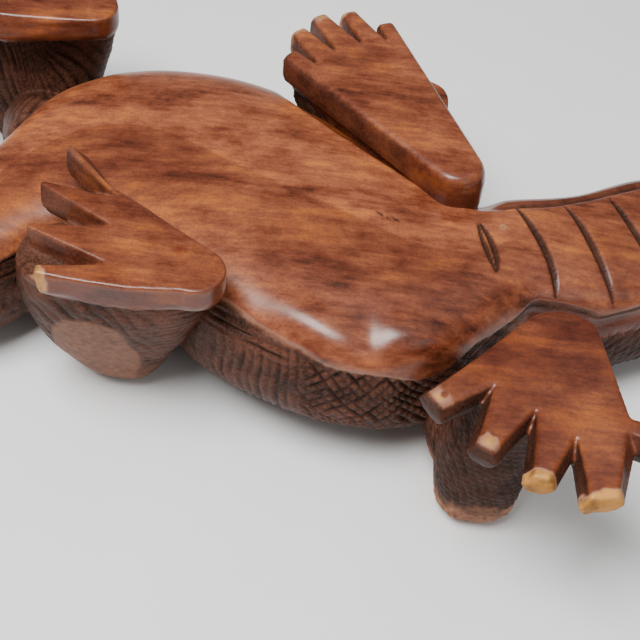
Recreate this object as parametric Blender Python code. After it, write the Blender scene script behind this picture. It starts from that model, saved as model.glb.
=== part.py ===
"""Carved hardwood iguana lying on its back: trunk, head, tail and four legs, joined by hidden pegs.

The belly and the four flat soles face up. +X runs from the head to the tail, -Y is the near side.
Metres, +Z up, origin under the middle of the figure on the surface it lies on.
"""
import math

import bmesh
import bpy
import numpy as np
from mathutils import Matrix, Vector

# Overall sizes
TRUNK_LENGTH = 0.205
TRUNK_WIDTH = 0.092
TRUNK_HEIGHT = 0.050
HEAD_LENGTH = 0.085
HEAD_WIDTH = 0.045
HEAD_HEIGHT = 0.039
TAIL_LENGTH = 0.190
TAIL_SWAY = 0.030
TAIL_ROOT_WIDTH = 0.045
TAIL_ROOT_HEIGHT = 0.042
TAIL_ROOT_CENTRE = 0.266 * TRUNK_WIDTH
TAIL_ROOT_LIFT = 0.001
THROAT_LIFT = 0.002

# Feet and legs
SOLE_RISE = 0.007
FOOT_THICKNESS = 0.007
KNEE_FLAT = 0.0045
STUMP_FLAT = 0.0063
LEG_ROOT_DEPTH = 0.012
FRONT_LEG_RADIUS = 0.0115
HIND_LEG_RADIUS = 0.0120
LIMB_FULLNESS = 0.98
COLUMN_BITE = 0.0015
COLUMN_SQUARENESS = 2.4
SOLE_HEIGHT = TRUNK_HEIGHT + SOLE_RISE

# Pegs, eyes and fits
LEG_PEG_DIAMETER = 0.006
LEG_PEG_LENGTH = 0.018
NECK_PEG_DIAMETER = 0.010
NECK_PEG_LENGTH = 0.036
TAIL_PEG_DIAMETER = 0.008
TAIL_PEG_LENGTH = 0.032
PEG_CLEARANCE = 0.0003
GLUE_GAP = 0.0003
EYE_DIAMETER = 0.0085
EYE_SHARE = 0.50
EYE_SINK = 0.93
EYE_LIFT = 0.36
LIMB_WAIST = 0.18

# Roundness of the cross-section: 2 is an ellipse, higher is squarer
BELLY_SQUARENESS = 3.5
BACK_SQUARENESS = 2.2
MIDDLE_SHARE = 0.54

# How finely the solids are faceted
RING_POINTS = 40
TRUNK_RINGS = 36
HEAD_RINGS = 20
TAIL_RINGS = 32
PEG_SIDES = 20
COLUMN_SIDES = 24
COLUMN_RINGS = 14
LIMB_RINGS = 9
HEEL_POINTS = 9
EYE_SEGMENTS = 20
EYE_RINGS = 12
TRACK_STEPS = 400
SHARP_ANGLE = 40

# Trunk outline: share of the length, near and far flank as shares of the width,
# belly and back as shares of the height
TRUNK_STATIONS = (
    (0.00, -0.337, 0.130, 0.78, 0.04),
    (0.07, -0.293, 0.285, 0.85, 0.02),
    (0.11, -0.235, 0.495, 0.88, 0.01),
    (0.17, -0.115, 0.615, 0.92, 0.00),
    (0.24, -0.085, 0.668, 0.95, 0.00),
    (0.30, -0.165, 0.678, 0.97, 0.00),
    (0.37, -0.315, 0.660, 0.99, 0.00),
    (0.45, -0.410, 0.590, 1.00, 0.00),
    (0.54, -0.458, 0.466, 1.00, 0.00),
    (0.62, -0.440, 0.312, 0.99, 0.00),
    (0.68, -0.365, 0.244, 0.97, 0.00),
    (0.75, -0.205, 0.272, 0.95, 0.01),
    (0.82, -0.155, 0.325, 0.93, 0.01),
    (0.91, -0.090, 0.450, 0.90, 0.02),
)

# Head outline behind the neck seam: share of the length, sideways drift as a share of the length,
# half width as a share of the width, throat and crown as shares of the height
HEAD_STATIONS = (
    (0.12, -0.070, 0.430, 0.95, 0.08),
    (0.30, -0.165, 0.460, 0.98, 0.06),
    (0.46, -0.235, 0.500, 1.00, 0.03),
    (0.62, -0.285, 0.440, 0.96, 0.08),
    (0.78, -0.320, 0.335, 0.85, 0.18),
    (0.91, -0.340, 0.225, 0.73, 0.28),
    (1.00, -0.350, 0.120, 0.60, 0.38),
)

# Tail past the tail seam: share of the length, drift as a share of the sway,
# width as a share of the root width, top and bottom as shares of the root height
TAIL_STATIONS = (
    (0.13, 0.36, 0.85, 0.87, 0.02),
    (0.26, 0.66, 0.71, 0.75, 0.02),
    (0.40, 0.80, 0.57, 0.63, 0.01),
    (0.53, 0.74, 0.46, 0.52, 0.01),
    (0.66, 0.50, 0.36, 0.42, 0.01),
    (0.79, 0.10, 0.27, 0.33, 0.02),
    (0.91, -0.40, 0.18, 0.24, 0.03),
    (1.00, -0.85, 0.09, 0.16, 0.05),
)

# Foot outlines in the foot's own frame: first value along the toes, second to the left of them.
# Each toe is a tip point and a tip width; a notch lies between each two toes.
FRONT_FOOT = {
    "heel": (-0.0083, 0.0074, 0.0072, 75, 228),
    "toes": ((0.0278, -0.0294, 0.0022), (0.0322, -0.0148, 0.0022),
             (0.0321, -0.0002, 0.0022), (0.0268, 0.0132, 0.0026)),
    "notches": ((0.0118, -0.0122), (0.0108, -0.0027), (0.0098, 0.0090)),
    "web": ((0.0060, 0.0156),),
}
HIND_FOOT = {
    "heel": (0.0025, 0.0025, 0.0105, 130, 226),
    "toes": ((0.0213, -0.0262, 0.0050), (0.0315, -0.0155, 0.0046), (0.0373, -0.0032, 0.0046),
             (0.0412, 0.0107, 0.0092), (0.0275, 0.0335, 0.0076)),
    "notches": ((0.0134, -0.0121), (0.0187, -0.0038), (0.0252, 0.0042), (0.0234, 0.0171)),
    "web": ((0.0195, 0.0130),),
}
LONG_FOOT = {
    "heel": (0.0018, -0.0015, 0.0072, 100, 255),
    "toes": ((0.0600, -0.0168, 0.0052), (0.0680, -0.0092, 0.0054), (0.0712, -0.0005, 0.0054),
             (0.0690, 0.0082, 0.0054), (0.0600, 0.0150, 0.0052)),
    "notches": ((0.0490, -0.0120), (0.0512, -0.0047), (0.0512, 0.0036), (0.0490, 0.0104)),
    "web": (),
}
# Thigh under the long foot: heel arc and two far corners in the foot's frame, then the height
# and the shrinkage towards its middle of each ring
THIGH_CORNERS = ((0.0540, -0.0155), (0.0480, 0.0100))
THIGH_RINGS = ((0.030, 0.84), (0.040, 0.96), (0.0515, 0.98))

# Leg column between the knee and the sole: share of the height, centre shifted along and across,
# half length and half width, in metres
FRONT_COLUMN = (
    (0.00, 0.0000, 0.0000, KNEE_FLAT, KNEE_FLAT),
    (0.08, 0.0000, 0.0004, 0.0084, 0.0070),
    (0.30, -0.0014, 0.0022, 0.0124, 0.0098),
    (0.60, -0.0018, 0.0054, 0.0186, 0.0126),
    (0.88, -0.0004, 0.0084, 0.0242, 0.0146),
    (1.00, 0.0004, 0.0090, 0.0254, 0.0148),
)
HIND_COLUMN = (
    (0.00, 0.0000, 0.0000, STUMP_FLAT, STUMP_FLAT),
    (0.06, 0.0000, 0.0000, 0.0094, 0.0092),
    (0.20, 0.0000, 0.0000, 0.0108, 0.0106),
    (0.55, 0.0010, 0.0005, 0.0112, 0.0108),
    (0.80, -0.0012, 0.0015, 0.0102, 0.0098),
    (1.00, -0.0035, 0.0030, 0.0090, 0.0088),
)

# The four legs. root: share of the trunk's length. knee: metres behind the root and out from the
# flank. foot: metres from the knee to the foot's own zero, and the heading of its toes in degrees.
LEGS = (
    {"name": "front_leg_near", "peg": "front_peg_near", "side": -1, "root": 0.150, "lift": 0.62,
     "knee": (0.0247, 0.0020), "foot": (0.0116, -0.0070), "heading": 180, "flip": 1,
     "outline": FRONT_FOOT, "column": FRONT_COLUMN, "radius": FRONT_LEG_RADIUS},
    {"name": "front_leg_far", "peg": "front_peg_far", "side": 1, "root": 0.110, "lift": 0.62,
     "knee": (-0.0100, 0.0200), "foot": (0.0080, -0.0040), "heading": 152, "flip": -1,
     "outline": FRONT_FOOT, "column": FRONT_COLUMN, "radius": FRONT_LEG_RADIUS},
    {"name": "hind_leg_near", "peg": "hind_peg_near", "side": -1, "root": 0.695, "lift": 0.40,
     "knee": (0.0060, 0.0140), "foot": (0.0085, 0.0078), "heading": 270, "flip": 1,
     "outline": HIND_FOOT, "column": HIND_COLUMN, "radius": HIND_LEG_RADIUS},
    {"name": "hind_leg_far", "peg": "hind_peg_far", "side": 1, "root": 0.640, "lift": 0.40,
     "knee": (-0.0110, 0.0189), "foot": (0.0170, -0.0282), "heading": 127, "flip": -1,
     "outline": LONG_FOOT, "column": HIND_COLUMN, "radius": HIND_LEG_RADIUS},
)


def clear_scene():
    """Remove every object of the start-up scene."""
    for item in list(bpy.data.objects):
        bpy.data.objects.remove(item, do_unlink=True)


def make_material(name, colour, roughness):
    """One Principled finish."""
    material = bpy.data.materials.new(name)
    material.use_nodes = True
    shader = material.node_tree.nodes["Principled BSDF"]
    shader.inputs["Base Color"].default_value = (*colour, 1.0)
    shader.inputs["Roughness"].default_value = roughness
    shader.inputs["Metallic"].default_value = 0.0
    return material


def link_mesh(name, bm, material=None):
    """Turn a bmesh into a named object with outward faces."""
    bmesh.ops.recalc_face_normals(bm, faces=bm.faces)
    mesh = bpy.data.meshes.new(name)
    bm.to_mesh(mesh)
    bm.free()
    item = bpy.data.objects.new(name, mesh)
    bpy.context.collection.objects.link(item)
    if material:
        mesh.materials.append(material)
    return item


def smooth_track(stations, count):
    """Cubic Hermite curve through rows of stations; the first column is the parameter."""
    rows = np.array(stations, dtype=float)
    knots = rows[:, 0]
    slopes = np.gradient(rows, knots, axis=0)
    at = np.linspace(knots[0], knots[-1], count)
    index = np.clip(np.searchsorted(knots, at, side="right") - 1, 0, len(knots) - 2)
    span = (knots[index + 1] - knots[index])[:, None]
    t = (at - knots[index])[:, None] / span
    start = rows[index] * (2 * t**3 - 3 * t**2 + 1) + slopes[index] * span * (t**3 - 2 * t**2 + t)
    end = rows[index + 1] * (3 * t**2 - 2 * t**3) + slopes[index + 1] * span * (t**3 - t**2)
    return start + end


def body_ring(x, near, far, top, bottom):
    """Cross-section in a YZ plane: flat, square-shouldered belly above and a round back below."""
    angle = np.arange(RING_POINTS) * 2 * math.pi / RING_POINTS
    cosine, sine = np.cos(angle), np.sin(angle)
    middle = bottom + MIDDLE_SHARE * (top - bottom)
    squareness = np.where(sine > 0, BELLY_SQUARENESS, BACK_SQUARENESS)
    height = np.where(sine > 0, top - middle, middle - bottom)
    y = 0.5 * (near + far) + 0.5 * (far - near) * np.sign(cosine) * abs(cosine) ** (2 / squareness)
    z = middle + height * np.sign(sine) * abs(sine) ** (2 / squareness)
    return np.stack([np.full(RING_POINTS, x), y, z], axis=1)


def loft(name, rings, material=None):
    """Closed solid through a list of rings with equal point counts."""
    bm = bmesh.new()
    loops = [[bm.verts.new(point) for point in ring] for ring in rings]
    for lower, upper in zip(loops, loops[1:]):
        for i in range(len(lower)):
            j = (i + 1) % len(lower)
            bm.faces.new((lower[i], lower[j], upper[j], upper[i]))
    bm.faces.new(loops[0][::-1])
    bm.faces.new(loops[-1])
    return link_mesh(name, bm, material)


def combine(base, tool, operation):
    """Apply one exact Boolean to base and remove the tool."""
    modifier = base.modifiers.new(operation.lower(), "BOOLEAN")
    modifier.operation = operation
    modifier.solver = "EXACT"
    modifier.object = tool
    tool.hide_render = True
    tool.display_type = "WIRE"
    bpy.context.view_layer.update()
    evaluated = base.evaluated_get(bpy.context.evaluated_depsgraph_get())
    mesh = bpy.data.meshes.new_from_object(evaluated)
    base.modifiers.remove(modifier)
    base.data = mesh
    bpy.data.objects.remove(tool, do_unlink=True)


def rod(name, start, end, radius, material=None):
    """Straight round rod between two points."""
    start, end = Vector(start), Vector(end)
    bm = bmesh.new()
    turn = (end - start).to_track_quat("Z", "Y").to_matrix().to_4x4()
    place = Matrix.Translation((start + end) / 2) @ turn
    bmesh.ops.create_cone(bm, cap_ends=True, segments=PEG_SIDES, radius1=radius, radius2=radius,
                          depth=(end - start).length, matrix=place)
    return link_mesh(name, bm, material)


def trunk_rows():
    """Trunk stations with the tail seam as the last, in metres."""
    root = (1.0, (TAIL_ROOT_CENTRE - TAIL_ROOT_WIDTH / 2) / TRUNK_WIDTH,
            (TAIL_ROOT_CENTRE + TAIL_ROOT_WIDTH / 2) / TRUNK_WIDTH,
            (TAIL_ROOT_HEIGHT + TAIL_ROOT_LIFT) / TRUNK_HEIGHT, TAIL_ROOT_LIFT / TRUNK_HEIGHT)
    scale = np.array([1.0, TRUNK_WIDTH, TRUNK_WIDTH, TRUNK_HEIGHT, TRUNK_HEIGHT])
    return np.array(TRUNK_STATIONS + (root,)) * scale


def trunk_place(share):
    """Flanks, belly and back of the trunk at one share of its length."""
    track = smooth_track(trunk_rows(), TRACK_STEPS + 1)
    row = [np.interp(share, track[:, 0], track[:, i]) for i in range(1, 5)]
    return share * TRUNK_LENGTH, *row


def trunk_solid(name, grow, material=None):
    """The trunk, or with grow above zero the slightly larger copy that cuts its neighbours."""
    rings = [body_ring(row[0] * TRUNK_LENGTH, row[1] - grow, row[2] + grow, row[3] + grow,
                       row[4] - grow) for row in smooth_track(trunk_rows(), TRUNK_RINGS)]
    return loft(name, rings, material)


def head_rows():
    """Head stations in metres, starting half a glue line ahead of the neck seam."""
    x, near, far, top, bottom = trunk_place(0.0)
    rows = [(0.0, (near + far) / 2, (far - near) / 2, top, bottom)]
    for share, drift, half, throat, crown in HEAD_STATIONS:
        rows.append((share, (near + far) / 2 + drift * HEAD_LENGTH, half * HEAD_WIDTH,
                     throat * HEAD_HEIGHT + THROAT_LIFT, crown * HEAD_HEIGHT))
    return rows


def head_solid(material):
    """Head and throat, one block from the neck seam to the snout."""
    rings = [body_ring(-GLUE_GAP - row[0] * (HEAD_LENGTH - GLUE_GAP), row[1] - row[2],
                       row[1] + row[2], row[3], row[4])
             for row in smooth_track(head_rows(), HEAD_RINGS)]
    return loft("head", rings, material)


def tail_solid(material):
    """Tail from the tail seam to its blunt tip, swaying to the far side and back."""
    start = trunk_place(1.0)
    rows = [(0.0, TAIL_ROOT_CENTRE, 0.5 * (start[2] - start[1]), start[3], start[4])]
    for share, drift, width, top, bottom in TAIL_STATIONS:
        rows.append((share, TAIL_ROOT_CENTRE + drift * TAIL_SWAY, 0.5 * width * TAIL_ROOT_WIDTH,
                     top * TAIL_ROOT_HEIGHT, bottom * TAIL_ROOT_HEIGHT))
    rings = [body_ring(TRUNK_LENGTH + GLUE_GAP + row[0] * (TAIL_LENGTH - GLUE_GAP),
                       row[1] - row[2], row[1] + row[2], row[3], row[4])
             for row in smooth_track(rows, TAIL_RINGS)]
    return loft("tail", rings, material)


def heel_points(outline):
    """Arc of the heel in the foot's own frame."""
    along, across, radius, first, last = outline["heel"]
    return [(along + radius * math.cos(math.radians(a)), across + radius * math.sin(math.radians(a)))
            for a in np.linspace(first, last, HEEL_POINTS)]


def foot_outline(outline):
    """Points of a foot in its own frame: round heel, then toes with a notch between each two."""
    points = heel_points(outline)
    for index, (tip_along, tip_across, width) in enumerate(outline["toes"]):
        lean = Vector((tip_along, tip_across)).normalized()
        side = Vector((-lean.y, lean.x)) * width / 2
        points.append((tip_along - side.x, tip_across - side.y))
        points.append((tip_along + side.x, tip_across + side.y))
        if index < len(outline["notches"]):
            points.append(outline["notches"][index])
    return points + list(outline["web"])


def foot_plan(leg, knee, points):
    """Points of the foot's own frame, placed under the knee's foot zero and turned to its heading."""
    heading = math.radians(leg["heading"])
    along = Vector((math.cos(heading), math.sin(heading)))
    across = Vector((-along.y, along.x)) * leg["flip"]
    zero = Vector((knee[0] + leg["foot"][0], knee[1] + leg["foot"][1]))
    return [zero + along * u + across * v for u, v in points]


def foot_solid(leg, knee):
    """Flat foot slab whose upper face is the sole."""
    plan = foot_plan(leg, knee, foot_outline(leg["outline"]))
    rings = [[(p.x, p.y, z) for p in plan] for z in (SOLE_HEIGHT - FOOT_THICKNESS, SOLE_HEIGHT)]
    return loft("foot", rings)


def thigh_solid(leg, knee):
    """Thigh between the heel half of the foot and the flank, narrower towards the knee."""
    plan = foot_plan(leg, knee, heel_points(leg["outline"]) + list(THIGH_CORNERS))
    middle = sum(plan, Vector((0, 0))) / len(plan)
    return loft("thigh", [[(*(middle + (p - middle) * share), z) for p in plan]
                          for z, share in THIGH_RINGS])


def leg_root(leg):
    """Where the limb starts inside the trunk, and the middle of its knee or elbow."""
    x, near, far = trunk_place(leg["root"])[:3]
    flank = near if leg["side"] < 0 else far
    start = Vector((x, flank - leg["side"] * LEG_ROOT_DEPTH, leg["lift"] * TRUNK_HEIGHT))
    knee = Vector((x + leg["knee"][0], flank + leg["side"] * leg["knee"][1], leg["radius"]))
    return start, knee


def inside_trunk(point):
    """Whether a point lies inside the trunk's cross-section."""
    near, far, top, bottom = trunk_place(point.x / TRUNK_LENGTH)[1:]
    middle = bottom + MIDDLE_SHARE * (top - bottom)
    above = point.z > middle
    power = BELLY_SQUARENESS if above else BACK_SQUARENESS
    height = top - middle if above else middle - bottom
    aside = abs(point.y - (near + far) / 2) / ((far - near) / 2)
    return aside ** power + (abs(point.z - middle) / height) ** power < 1


def flank_crossing(start, knee):
    """Point where the limb's axis leaves the trunk."""
    for share in np.linspace(0, 1, TRACK_STEPS):
        point = start.lerp(knee, share)
        if not inside_trunk(point):
            return point
    return knee


def leg_column(leg, knee):
    """Upright column from the knee's flat spot to the inside of the foot."""
    height = SOLE_HEIGHT - FOOT_THICKNESS + COLUMN_BITE
    angle = np.arange(COLUMN_SIDES) * 2 * math.pi / COLUMN_SIDES
    cosine, sine = np.cos(angle), np.sin(angle)
    round_x = np.sign(cosine) * abs(cosine) ** (2 / COLUMN_SQUARENESS)
    round_y = np.sign(sine) * abs(sine) ** (2 / COLUMN_SQUARENESS)
    rings = []
    for share, along, across, half_length, half_width in smooth_track(leg["column"], COLUMN_RINGS):
        rings.append([(knee.x - along + half_length * cx,
                       knee.y + leg["side"] * across + half_width * cy, share * height)
                      for cx, cy in zip(round_x, round_y)])
    return loft("column", rings)


def upper_leg(leg, start, knee):
    """Round upper limb from inside the trunk to the knee, a little thinner at its ends."""
    axis = (knee - start).normalized()
    flat = axis.cross(Vector((0, 0, 1))).normalized()
    rise = flat.cross(axis)
    rings = []
    for share in np.linspace(0, 1, LIMB_RINGS):
        radius = leg["radius"] * (LIMB_FULLNESS - LIMB_WAIST * (2 * share - 1) ** 2)
        centre = start.lerp(knee, share)
        rings.append([centre + (flat * math.cos(a) + rise * math.sin(a)) * radius
                      for a in np.arange(COLUMN_SIDES) * 2 * math.pi / COLUMN_SIDES])
    return loft("upper", rings)


def build_leg(leg, trunk, wood, peg_wood):
    """One leg, coped to the flank, with its peg and the peg's socket in leg and trunk."""
    start, knee = leg_root(leg)
    body = leg_column(leg, knee)
    body.name = leg["name"]
    body.data.materials.append(wood)
    combine(body, foot_solid(leg, knee), "UNION")
    combine(body, upper_leg(leg, start, knee), "UNION")
    if leg["outline"] is LONG_FOOT:
        combine(body, thigh_solid(leg, knee), "UNION")
    combine(body, trunk_solid("cope", GLUE_GAP), "DIFFERENCE")
    axis = (knee - start).normalized()
    middle = flank_crossing(start, knee)
    inner, outer = middle - axis * LEG_PEG_LENGTH / 2, middle + axis * LEG_PEG_LENGTH / 2
    radius = LEG_PEG_DIAMETER / 2
    spare = axis * PEG_CLEARANCE
    for target in (body, trunk):
        combine(target, rod("bore", inner - spare, outer + spare, radius + PEG_CLEARANCE),
                "DIFFERENCE")
    rod(leg["peg"], inner, outer, radius, peg_wood)


def seam_peg(name, share, x, length, diameter, pieces, wood):
    """Peg across a seam that faces along X, with its socket in both pieces.

    share is the seam's place on the trunk; x is the peg's middle.
    """
    near, far, top, bottom = trunk_place(share)[1:]
    start = Vector((x - length / 2, (near + far) / 2, (top + bottom) / 2))
    end = start + Vector((length, 0, 0))
    spare = Vector((PEG_CLEARANCE, 0, 0))
    for target in pieces:
        combine(target, rod("bore", start - spare, end + spare, diameter / 2 + PEG_CLEARANCE),
                "DIFFERENCE")
    rod(name, start, end, diameter / 2, wood)


def build_eye(name, side, head, bead):
    """Turned bead let into a round socket on the side of the head."""
    track = smooth_track(head_rows(), TRACK_STEPS + 1)
    share, centre, half, top, bottom = track[round(EYE_SHARE * TRACK_STEPS)]
    spot = (-share * HEAD_LENGTH, centre + side * half * EYE_SINK, bottom + EYE_LIFT * (top - bottom))
    for radius, target in ((EYE_DIAMETER / 2 + GLUE_GAP, head), (EYE_DIAMETER / 2, None)):
        bm = bmesh.new()
        bmesh.ops.create_uvsphere(bm, u_segments=EYE_SEGMENTS, v_segments=EYE_RINGS, radius=radius,
                                  matrix=Matrix.Translation(spot))
        item = link_mesh("socket" if target else name, bm, None if target else bead)
        if target:
            combine(target, item, "DIFFERENCE")


def settle():
    """Move every solid so that the origin is under the middle of the figure, on its lowest point."""
    items = [item for item in bpy.data.objects if item.type == "MESH"]
    points = np.array([vertex.co for item in items for vertex in item.data.vertices])
    low, high = points.min(axis=0), points.max(axis=0)
    shift = Matrix.Translation((-(low[0] + high[0]) / 2, -(low[1] + high[1]) / 2, -low[2]))
    for item in items:
        item.data.transform(shift)
        item.data.shade_smooth()
        item.data.set_sharp_from_angle(angle=math.radians(SHARP_ANGLE))


def main():
    """Build the whole figure."""
    clear_scene()
    wood = make_material("oiled_hardwood", (0.30, 0.105, 0.045), 0.38)
    peg_wood = make_material("peg_wood", (0.55, 0.38, 0.20), 0.60)
    bead = make_material("eye_bead", (0.02, 0.012, 0.008), 0.15)
    trunk = trunk_solid("trunk", 0.0, wood)
    head = head_solid(wood)
    tail = tail_solid(wood)
    for leg in LEGS:
        build_leg(leg, trunk, wood, peg_wood)
    seam_peg("neck_peg", 0.0, -GLUE_GAP / 2, NECK_PEG_LENGTH, NECK_PEG_DIAMETER,
             (trunk, head), peg_wood)
    seam_peg("tail_peg", 1.0, TRUNK_LENGTH + GLUE_GAP / 2, TAIL_PEG_LENGTH, TAIL_PEG_DIAMETER,
             (trunk, tail), peg_wood)
    for name, side in (("eye_near", -1), ("eye_far", 1)):
        build_eye(name, side, head, bead)
    settle()


main()
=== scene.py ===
"""A carved hardwood iguana lying on its back: polished belly and soles, scale-cut flanks, worn toe tips.

Every place and size is taken from the fixed frame of solids. Plans and stations are in metres,
measured from the neck seam along +X and from the figure's middle line along +Y.
"""
import logging
import math
from dataclasses import dataclass
from enum import Enum
from itertools import product

import bpy
import numpy as np
from mathutils import Matrix, Vector


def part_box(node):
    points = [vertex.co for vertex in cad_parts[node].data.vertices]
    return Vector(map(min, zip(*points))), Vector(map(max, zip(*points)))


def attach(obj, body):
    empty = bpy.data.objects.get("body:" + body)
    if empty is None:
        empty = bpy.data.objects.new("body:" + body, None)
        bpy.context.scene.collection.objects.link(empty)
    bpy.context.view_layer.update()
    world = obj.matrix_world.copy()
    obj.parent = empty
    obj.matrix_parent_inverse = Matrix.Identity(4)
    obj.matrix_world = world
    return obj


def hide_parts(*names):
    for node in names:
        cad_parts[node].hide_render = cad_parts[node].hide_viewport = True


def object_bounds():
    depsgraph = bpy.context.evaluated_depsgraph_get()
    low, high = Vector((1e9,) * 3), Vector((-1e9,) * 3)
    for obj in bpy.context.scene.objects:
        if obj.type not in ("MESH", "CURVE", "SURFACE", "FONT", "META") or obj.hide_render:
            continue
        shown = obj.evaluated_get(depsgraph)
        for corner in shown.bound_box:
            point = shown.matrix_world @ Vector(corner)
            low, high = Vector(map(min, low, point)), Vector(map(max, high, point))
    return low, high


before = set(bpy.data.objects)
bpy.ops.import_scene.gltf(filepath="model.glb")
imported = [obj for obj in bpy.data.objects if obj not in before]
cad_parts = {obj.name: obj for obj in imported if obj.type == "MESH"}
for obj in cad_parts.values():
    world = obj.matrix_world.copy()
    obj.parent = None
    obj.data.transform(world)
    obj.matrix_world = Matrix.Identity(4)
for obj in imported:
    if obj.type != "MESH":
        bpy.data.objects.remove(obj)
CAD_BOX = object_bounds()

LOG = logging.getLogger("iguana")
MM = 0.001
# Middle line of the figure to the outermost point of the trunk's near flank.
NEAR_REACH = 0.04227
# Stands for the distance to a rim that is on the other flank.
OTHER_FLANK = -0.02
HASH_FACTORS = (374761393, 668265263, 1274126177, 1103515245)
HASH_MASK = 0x7FFFFFFF
LATTICE_PRIMES = (7919, 104729, 1299709)
# Least reach and least thickness that a share is taken of.
LEAST_REACH = 1e-6
LEAST_THICKNESS = 1e-4


class Side(Enum):
    """Flank that a limb or an eye is on; the value is the sign of its Y."""

    NEAR = -1
    FAR = 1


def origin() -> np.ndarray:
    """Point of the frame where the plans' zero lies: neck seam, middle line, floor."""
    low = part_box("trunk")[0]
    return np.array([low.x, low.y + NEAR_REACH, 0.0])


# ---------------------------------------------------------------- numbers over a surface

def ease(low: float, high: float, value: np.ndarray) -> np.ndarray:
    """Smooth step: 0 at low, 1 at high, 3t^2 - 2t^3 between; runs down where high is below low."""
    t = np.clip((value - low) / (high - low), 0.0, 1.0)
    return t * t * (3.0 - 2.0 * t)


def scatter(key: np.ndarray, seed: int) -> np.ndarray:
    """Repeatable number from 0 to 1 for each whole number, from a multiply-and-fold hash.

    Args:
        key: Whole numbers.
        seed: Chooses another set of numbers.

    Returns:
        Array from 0 to 1.
    """
    h = (key.astype(np.int64) * HASH_FACTORS[0] + seed * HASH_FACTORS[1]) & HASH_MASK
    h = ((h ^ (h >> 13)) * HASH_FACTORS[2]) & HASH_MASK
    h = ((h ^ (h >> 11)) * HASH_FACTORS[3]) & HASH_MASK
    return (h ^ (h >> 15)) / HASH_MASK


def cloud(points: np.ndarray, pitch: float, seed: int) -> np.ndarray:
    """Smooth noise from 0 to 1: hashed values on a cubic lattice, eased between eight corners.

    Args:
        points: Array of positions, last axis x, y, z.
        pitch: Lattice spacing in metres.
        seed: Chooses another pattern.

    Returns:
        Array with the points' leading shape.
    """
    cell = points / pitch
    base = np.floor(cell).astype(np.int64)
    t = cell - base
    t = t * t * (3.0 - 2.0 * t)
    total = np.zeros(points.shape[:-1])
    for corner in product((0, 1), repeat=3):
        at = base + np.array(corner)
        weight = np.prod(np.where(np.array(corner) == 1, t, 1.0 - t), axis=-1)
        total += weight * scatter(at @ np.array(LATTICE_PRIMES), seed)
    return total


def ripple(points: np.ndarray, pitch: float, seed: int, height: float) -> np.ndarray:
    """Smooth noise about zero, from crest to trough as high as given."""
    return (cloud(points, pitch, seed) - 0.5) * height


def ridge(value: np.ndarray, middle: np.ndarray | float, width: float) -> np.ndarray:
    """Bell curve, 1 at the middle value and 1/e at one width from it."""
    return np.exp(-((value - middle) / width) ** 2)


def blunt_vee(ratio: np.ndarray) -> np.ndarray:
    """Section of a gouge with a flat floor: 1 up to a fifth of its half width, 0 at its edge."""
    return np.clip(1.25 - 1.25 * ratio, 0.0, 1.0) ** 0.7


def gouges(phase: np.ndarray, along: np.ndarray, seed: int, share: float = 0.75) -> np.ndarray:
    """Depth of parallel knife gouges: a V across each whole step of phase, uneven along its length.

    Args:
        phase: Distance across the gouges, in gouge pitches.
        along: Distance along them, in stroke lengths.
        seed: Chooses another unevenness.
        share: Width of the V as a share of the pitch.

    Returns:
        Depth from 0 to 1.
    """
    index = np.floor(phase)
    vee = np.clip(1.0 - np.abs(2.0 * (phase - index) - 1.0) / share, 0.0, 1.0)
    step = np.floor(along + scatter(index, seed))
    swell = np.sin(np.pi * (along + scatter(index, seed) - step)) ** 0.5
    strength = 0.35 + 0.65 * scatter(index * 131 + step, seed + 1)
    return vee ** 1.2 * strength * (0.45 + 0.55 * swell)


def slanted(grid: np.ndarray, lean: float, pitch: float, stroke: float, drift: np.ndarray,
            seed: int) -> np.ndarray:
    """Depth of gouges that slant across a flank.

    Args:
        grid: Positions, last axis x, y, z.
        lean: Shift along x for each step down in z; its sign chooses the way they slant.
        pitch: Distance between gouges.
        stroke: Length of one stroke.
        drift: Shift of the gouges in pitches.
        seed: Chooses another unevenness.

    Returns:
        Depth from 0 to 1.
    """
    x, z = grid[..., 0], grid[..., 2]
    return gouges((x + lean * z) / pitch + drift, (x - math.copysign(1.0, lean) * z) / stroke, seed)


def hermite(stations: np.ndarray, at: np.ndarray) -> np.ndarray:
    """Cubic Hermite curve through rows of stations, with central-difference slopes.

    Args:
        stations: Rows whose first column is the rising parameter.
        at: Parameter values wanted.

    Returns:
        One row per wanted value, all columns.
    """
    rows = np.asarray(stations, dtype=float)
    knots = rows[:, 0]
    slopes = np.gradient(rows, knots, axis=0)
    index = np.clip(np.searchsorted(knots, at, side="right") - 1, 0, len(knots) - 2)
    span = (knots[index + 1] - knots[index])[:, None]
    t = (at - knots[index])[:, None] / span
    start = rows[index] * (2 * t**3 - 3 * t**2 + 1) + slopes[index] * span * (t**3 - 2 * t**2 + t)
    end = rows[index + 1] * (3 * t**2 - 2 * t**3) + slopes[index + 1] * span * (t**3 - t**2)
    return start + end


def spaced(count: int, places: np.ndarray, density: np.ndarray) -> np.ndarray:
    """Values between the first and last place, packed in proportion to a density.

    Args:
        count: How many values.
        places: Rising places where the density is known.
        density: Density at each place.

    Returns:
        Rising array of count values.
    """
    fine = np.linspace(places[0], places[-1], 4000)
    weight = np.interp(fine, places, density)
    total = np.concatenate([[0.0], np.cumsum(0.5 * (weight[1:] + weight[:-1]))])
    return np.interp(np.linspace(0.0, total[-1], count), total, fine)


def grid_normals(grid: np.ndarray) -> np.ndarray:
    """Outward unit normals of a tube grid: round direction crossed with length direction.

    Args:
        grid: Rings by points by 3, round in y to z and rings along +X.

    Returns:
        Array of the same shape.
    """
    around = np.roll(grid, -1, axis=1) - np.roll(grid, 1, axis=1)
    normal = np.cross(around, np.gradient(grid, axis=0))
    return normal / (np.linalg.norm(normal, axis=2, keepdims=True) + 1e-12)


# ---------------------------------------------------------------- meshes

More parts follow.
